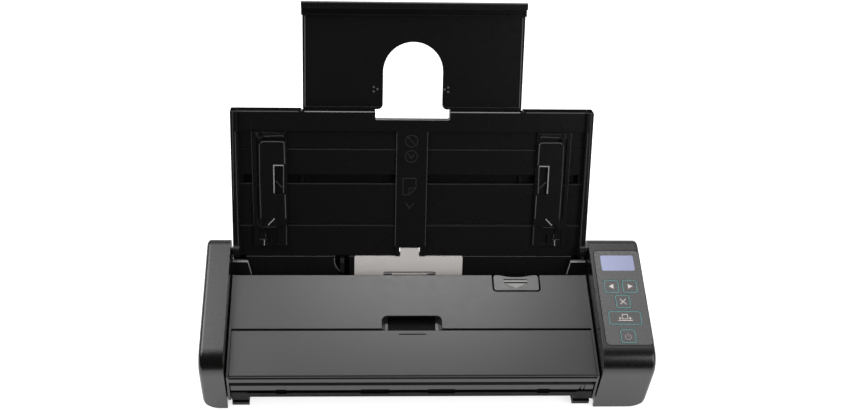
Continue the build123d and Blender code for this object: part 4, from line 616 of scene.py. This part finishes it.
# Each entry: body, height, finish, width, then paths (x, w) of the left half
LINES = (
    ("tray", WALL_D, EDGE_HIGHLIGHT, 0.6, (
        ((-126.4, 89.1), (-125.9, -0.7)),
        ((-127.9, 103.2), (-128.7, 39)),
    )),
    ("tray", PAPER_D, CREST_HIGHLIGHT, 0.7, (((-128.0, 103.5), (-81.4, 103.5)),)),
    ("tray", PAPER_D, BRIGHT_HIGHLIGHT, 0.7, (((-77.0, 103.5), (-27.2, 103.5)),)),
    ("tray", PAPER_D, EDGE_HIGHLIGHT, 0.5, (((-11.1, 89.0), (-11.1, 3.0)),)),
    ("tray", FLOOR_D, FAINT_HIGHLIGHT, 0.6, (
        ((-90.5, 75.6), (-11.3, 75.6)),
        ((-125.2, 18.45), (-115.4, 18.45)),
        ((-89.7, 18.45), (-11.3, 18.45)),
        ((-126, 50.1), (-116, 50.1)),
        ((-91, 50.1), (-11.3, 50.1)),
    )),
    ("tray", FLOOR_D, EDGE_HIGHLIGHT, 0.6, (((-115.3, 88.7), (-114.7, 18.5)),)),
    ("guide", PAPER_D, EDGE_HIGHLIGHT, 0.6, (
        ((-111.0, 88.3), (-111.0, 84.4)),
        ((-106.6, 88.3), (-106.6, 85.6), (-109.6, 81.8)),
        ((-91.0, 20.9), (-91.0, 3.9)),
        ((-110.8, 8.3), (-105.4, 8.6)),
        ((-106.2, 12.7), (-106.2, 10.1)),
        ((-111.7, 24.4), (-111.5, 18.1)),
        ((-112.6, 17.7), (-98.2, 17.8)),
        ((-110.8, 57.4), (-112.4, 57.1), (-112.6, 49.7), (-110.1, 49.5)),
    )),
    ("guide", GUIDE_EDGE_D, EDGE_HIGHLIGHT, 0.6, (((-106.4, 85.6), (-93.5, 86.2), (-92.0, 85.6)),)),
    ("guide", PAPER_D, BRIGHT_HIGHLIGHT, 0.7, (((-107.1, 8), (-107.2, 3.6)),)),
    ("fence", FENCE_D, CREST_HIGHLIGHT, 0.6, (
        ((-108.4, 80.9), (-107, 82.0), (-93.5, 82.0), (-91.8, 81), (-91.5, 65.7)),
        ((-91.5, 42.6), (-91.2, 25)),
        ((-92.3, 64.6), (-92.6, 44.1)),
    )),
    ("fence", FENCE_D, EDGE_HIGHLIGHT, 0.6, (
        ((-109.3, 80.2), (-109.6, 56.7), (-109.1, 25)),
        ((-98.0, 53.2), (-93.5, 48.1)),
    )),
    ("fence", FENCE_D, BRIGHT_HIGHLIGHT, 0.8, (((-92.3, 64.6), (-99.4, 64.6), (-99.3, 44)),)),
    ("fence", FENCE_D, BRIGHT_HIGHLIGHT, 0.8, (((-104, 19.9), (-99.2, 24.9)),)),
    ("extension", EXTENSION_D, CREST_HIGHLIGHT, 0.7, (((-76.6, 170.5), (-76.9, 106)),)),
)
for number, (body, d, finish, width, paths) in enumerate(LINES):
    halves = {"left": [], "right": []}
    for path in paths:
        for side, way in (("left", 1), ("right", -1)):
            turned = [(x * way, w) for x, w in path]
            halves[side].append(stroke(turned, width, d + SUNK, d + LINE_HEIGHT, on_tray))
    if body in ("tray", "extension"):
        both = halves["left"] + halves["right"]
        piece(f"{body}_lines_{number}", both, body, finish)
    else:
        for side, half in halves.items():
            piece(f"{body}_{side}_lines_{number}", half, f"{body}_{side}", finish)

# Symbols moulded into the tray's middle strip: two rings, a sheet and an arrow, lighter than the
# tray as painted highlight

STRIP_RING_X = -0.4
STRIP_RING_RADIUS = 4.3
STRIP = (PAPER_D + SUNK, PAPER_D + 0.07)
SHEET = [(-6.0, 42.5), (-6.0, 54.8), (3.4, 54.8), (3.4, 47.6), (-1.6, 42.5)]

# Each entry: width, path (x, w), and whether its ends meet
STRIP_MARKS = (
    (0.5, circle(STRIP_RING_X, 82.4, STRIP_RING_RADIUS), True),
    (0.5, circle(STRIP_RING_X, 71.0, STRIP_RING_RADIUS), True),
    (0.5, [(-3.4, 85.4), (2.6, 79.4)], False),
    (0.5, [(-2.4, 73.0), (-0.4, 69.4), (1.6, 73.0)], False),
    (0.5, SHEET, True),
    (0.4, [(-1.6, 42.5), (-1.6, 47.6), (3.4, 47.6)], False),
    (0.6, [(-3.9, 36.2), (-0.9, 32.2), (2.1, 36.2)], False),
)
strip_symbols = [
    stroke(path, width, *STRIP, on_tray, closed=closed) for width, path, closed in STRIP_MARKS
]
piece("strip_symbols", strip_symbols, "tray", FAINT_HIGHLIGHT)

# Three dots on each side of the extension's arch, lighter than the extension as painted highlight

DOT_RADIUS = 0.8
DOT_SIDES = 18
DOT_SHIFT = -1.3         # both groups stand this far from the paper's middle
DOT_HEIGHTS = (-6.42, -6.3)
extension_dots = []
for side in (-1, 1):
    for x, w in ((26.6, 120.6), (24.0, 119.1), (26.6, 117.4)):
        dot = circle(side * x + DOT_SHIFT, w, DOT_RADIUS, DOT_SIDES)
        extension_dots.append(slab(dot, *DOT_HEIGHTS, on_tray))
piece("extension_dots", extension_dots, "extension", CREST_HIGHLIGHT)

# Painted shade: dark skins that reflect nothing, over the tray's rim; nearest and farthest x, then
# the profile (w, d)

RIM_SHADE_SKINS = (
    (79.7, 128.6, [
        (103.88, -1.6), (104.86, -7.5), (104.86, -8.5),
        (104.96, -8.5), (104.96, -7.45), (103.98, -1.55),
    ]),
    (125.3, 129.7, [
        (103.95, 0.0), (104.83, -7.5), (104.83, -8.4),
        (104.97, -8.4), (104.97, -7.45), (104.1, 0.0),
    ]),
    (27.0, 78.9, [(103.88, -4.2), (103.96, -4.2), (103.96, -1.55), (103.88, -1.55)]),
)
rim_shade_shapes = [
    slab(profile, *across_side(side, near, far), on_tray_end)
    for side in (-1, 1)
    for near, far, profile in RIM_SHADE_SKINS
]
piece("rim_painted_shade_skins", rim_shade_shapes, "tray", RIM_SHADE)

# Floor: white to the camera, and it takes the object's shadow. Mirrored rays see it bright from
# the object back, and dark where it lies well in front of the object.

FLOOR_REACH = 3.0        # metres, as are the two places below
MIRROR_DARK_Y = -0.36
MIRROR_BRIGHT_Y = -0.2
MIRROR_LEVEL = 0.8
FLOOR_ROUGHNESS = 0.9
FLOOR_TONE = (0.9, 0.9, 0.9, 1)
FLOOR_DARK_TONE = (0.05, 0.05, 0.05, 1)
FLOOR_GLOW = 0.75

floor_mesh = bpy.data.meshes.new("floor")
corners = [
    (-FLOOR_REACH, -FLOOR_REACH, 0), (FLOOR_REACH, -FLOOR_REACH, 0),
    (FLOOR_REACH, FLOOR_REACH, 0), (-FLOOR_REACH, FLOOR_REACH, 0),
]
floor_mesh.from_pydata(corners, [], [(0, 1, 2, 3)])
floor = bpy.data.objects.new("floor", floor_mesh)
bpy.context.scene.collection.objects.link(floor)
ground = Finish("floor_white")
ground_rays = ground.add("ShaderNodeLightPath").outputs
ground_y = ground.axes(ground.place)["Y"]
nearness = ground.carry(
    ground_y, MIRROR_DARK_Y, MIRROR_BRIGHT_Y, 0.0, MIRROR_LEVEL, "SMOOTHSTEP"
)
glint = ground.combine("MULTIPLY", ground_rays["Is Glossy Ray"], nearness)
dimmed = ground.combine("SUBTRACT", ground_rays["Is Glossy Ray"], glint)
pale = ground.add("ShaderNodeMix", data_type="RGBA")
pale.inputs["A"].default_value = FLOOR_TONE
pale.inputs["B"].default_value = FLOOR_DARK_TONE
ground.join(dimmed, pale.inputs["Factor"])
ground.join(pale.outputs["Result"], ground.shader.inputs["Base Color"])
seen = ground.combine("MAXIMUM", ground_rays["Is Camera Ray"], glint)
glow = ground.combine("MULTIPLY", seen, FLOOR_GLOW)
ground.join(glow, ground.shader.inputs["Emission Strength"])
ground.shader.inputs["Emission Color"].default_value = WHITE
ground.shader.inputs["Roughness"].default_value = FLOOR_ROUGHNESS
floor.data.materials.append(ground.material)

# Lamps. Each entry: name, place, point it faces and size in metres, power in watts

LAMPS = (
    ("key_lamp", (-0.8, 0.1, 1.25), (0, -0.04, 0.05), (0.9, 0.9), 9),
    ("fill_lamp", (0.9, -0.8, 0.8), (0, -0.04, 0.05), (0.8, 0.8), 5),
    ("overhead_lamp", (0.05, 0.3, 0.7), (0, -0.05, 0.05), (0.32, 0.3), 1.2),
)
for name, place, aim, size, power in LAMPS:
    data = bpy.data.lights.new(name, "AREA")
    data.shape = "RECTANGLE"
    data.size, data.size_y = size
    data.energy = power
    lamp = bpy.data.objects.new(name, data)
    bpy.context.scene.collection.objects.link(lamp)
    lamp.location = place
    lamp.rotation_euler = (Vector(aim) - Vector(place)).to_track_quat("-Z", "Y").to_euler()

# World: white to the camera and through clear faces, one even level for diffuse rays. Mirrored
# rays see it dark towards the viewer, white above, darker low behind and at both sides.

DIFFUSE_LEVEL = 0.35
AHEAD_STOPS = ((-0.2, 0.0), (0.02, 0.16), (0.34, 1.0), (0.5, 1.0), (0.72, 0.3), (1.0, 0.6))
BESIDE_STOPS = ((-0.8, 0.3), (-0.35, 0.65), (-0.1, 1.0), (0.4, 1.0), (0.85, 0.3))

world = bpy.data.worlds.new("studio")
bpy.context.scene.world = world
world.use_nodes = True
sky = Nodes(world.node_tree)
background = sky.tree.nodes["Background"]
background.inputs["Color"].default_value = WHITE
sky_rays = sky.add("ShaderNodeLightPath").outputs
towards = sky.axes(sky.add("ShaderNodeTexCoord").outputs["Generated"])


def levels(source, stops):
    """A level that runs straight between stops of (-1 to 1 value, level)."""
    ramp = sky.add("ShaderNodeValToRGB")
    sky.join(sky.carry(source, -1.0, 1.0), ramp.inputs["Fac"])
    elements = ramp.color_ramp.elements
    while len(elements) < len(stops):
        elements.new(position=0.5)
    for element, (value, level) in zip(elements, stops):
        element.position = (value + 1) / 2
        element.color = (level, level, level, 1)
    return ramp.outputs["Color"]


def choose(ray, other, chosen):
    """The chosen level for one kind of ray and the other level for the rest."""
    mix = sky.add("ShaderNodeMix")
    sky.join(sky_rays[ray], mix.inputs["Factor"])
    sky.feed(other, mix.inputs["A"])
    sky.feed(chosen, mix.inputs["B"])
    return mix.outputs["Result"]


ahead = levels(towards["Y"], AHEAD_STOPS)
beside = levels(towards["X"], BESIDE_STOPS)
mirrored = sky.combine("MULTIPLY", ahead, beside)
level = choose("Is Glossy Ray", DIFFUSE_LEVEL, mirrored)
level = choose("Is Transmission Ray", level, 1.0)
level = choose("Is Camera Ray", level, 1.0)
sky.join(level, background.inputs["Strength"])

# Camera at the photograph's viewpoint

PHOTO = (854, 410)
FOCAL_PX = 1096.0
CENTRE_PX = (385.0, 207.0)
SENSOR_MM = 36.0
PITCH = math.radians(45.0)
YAW = math.radians(3.06)
ROLL = math.radians(-2.32)
CAMERA_AT = (-59.0, -504.0, 658.0)

camera_data = bpy.data.cameras.new("camera")
camera_data.sensor_width = SENSOR_MM
camera_data.lens = FOCAL_PX / PHOTO[0] * SENSOR_MM
camera_data.shift_x = (PHOTO[0] / 2 - CENTRE_PX[0]) / PHOTO[0]
camera_data.shift_y = (CENTRE_PX[1] - PHOTO[1] / 2) / PHOTO[0]
camera = bpy.data.objects.new("camera", camera_data)
bpy.context.scene.collection.objects.link(camera)
forward = Vector((
    math.sin(YAW) * math.cos(PITCH), math.cos(YAW) * math.cos(PITCH), -math.sin(PITCH)
))
across = Vector((math.cos(YAW), -math.sin(YAW), 0))
down = forward.cross(across)
right = math.cos(ROLL) * across + math.sin(ROLL) * down
below = -math.sin(ROLL) * across + math.cos(ROLL) * down
turn = Matrix((right, -below, -forward)).transposed().to_4x4()
camera.matrix_world = Matrix.Translation(
    Vector((CAMERA_AT[0], CAMERA_AT[1] - ORIGIN_Y, CAMERA_AT[2])) * MM
) @ turn
bpy.context.scene.camera = camera

bpy.context.scene.view_settings.view_transform = "Standard"

bpy.context.view_layer.update()
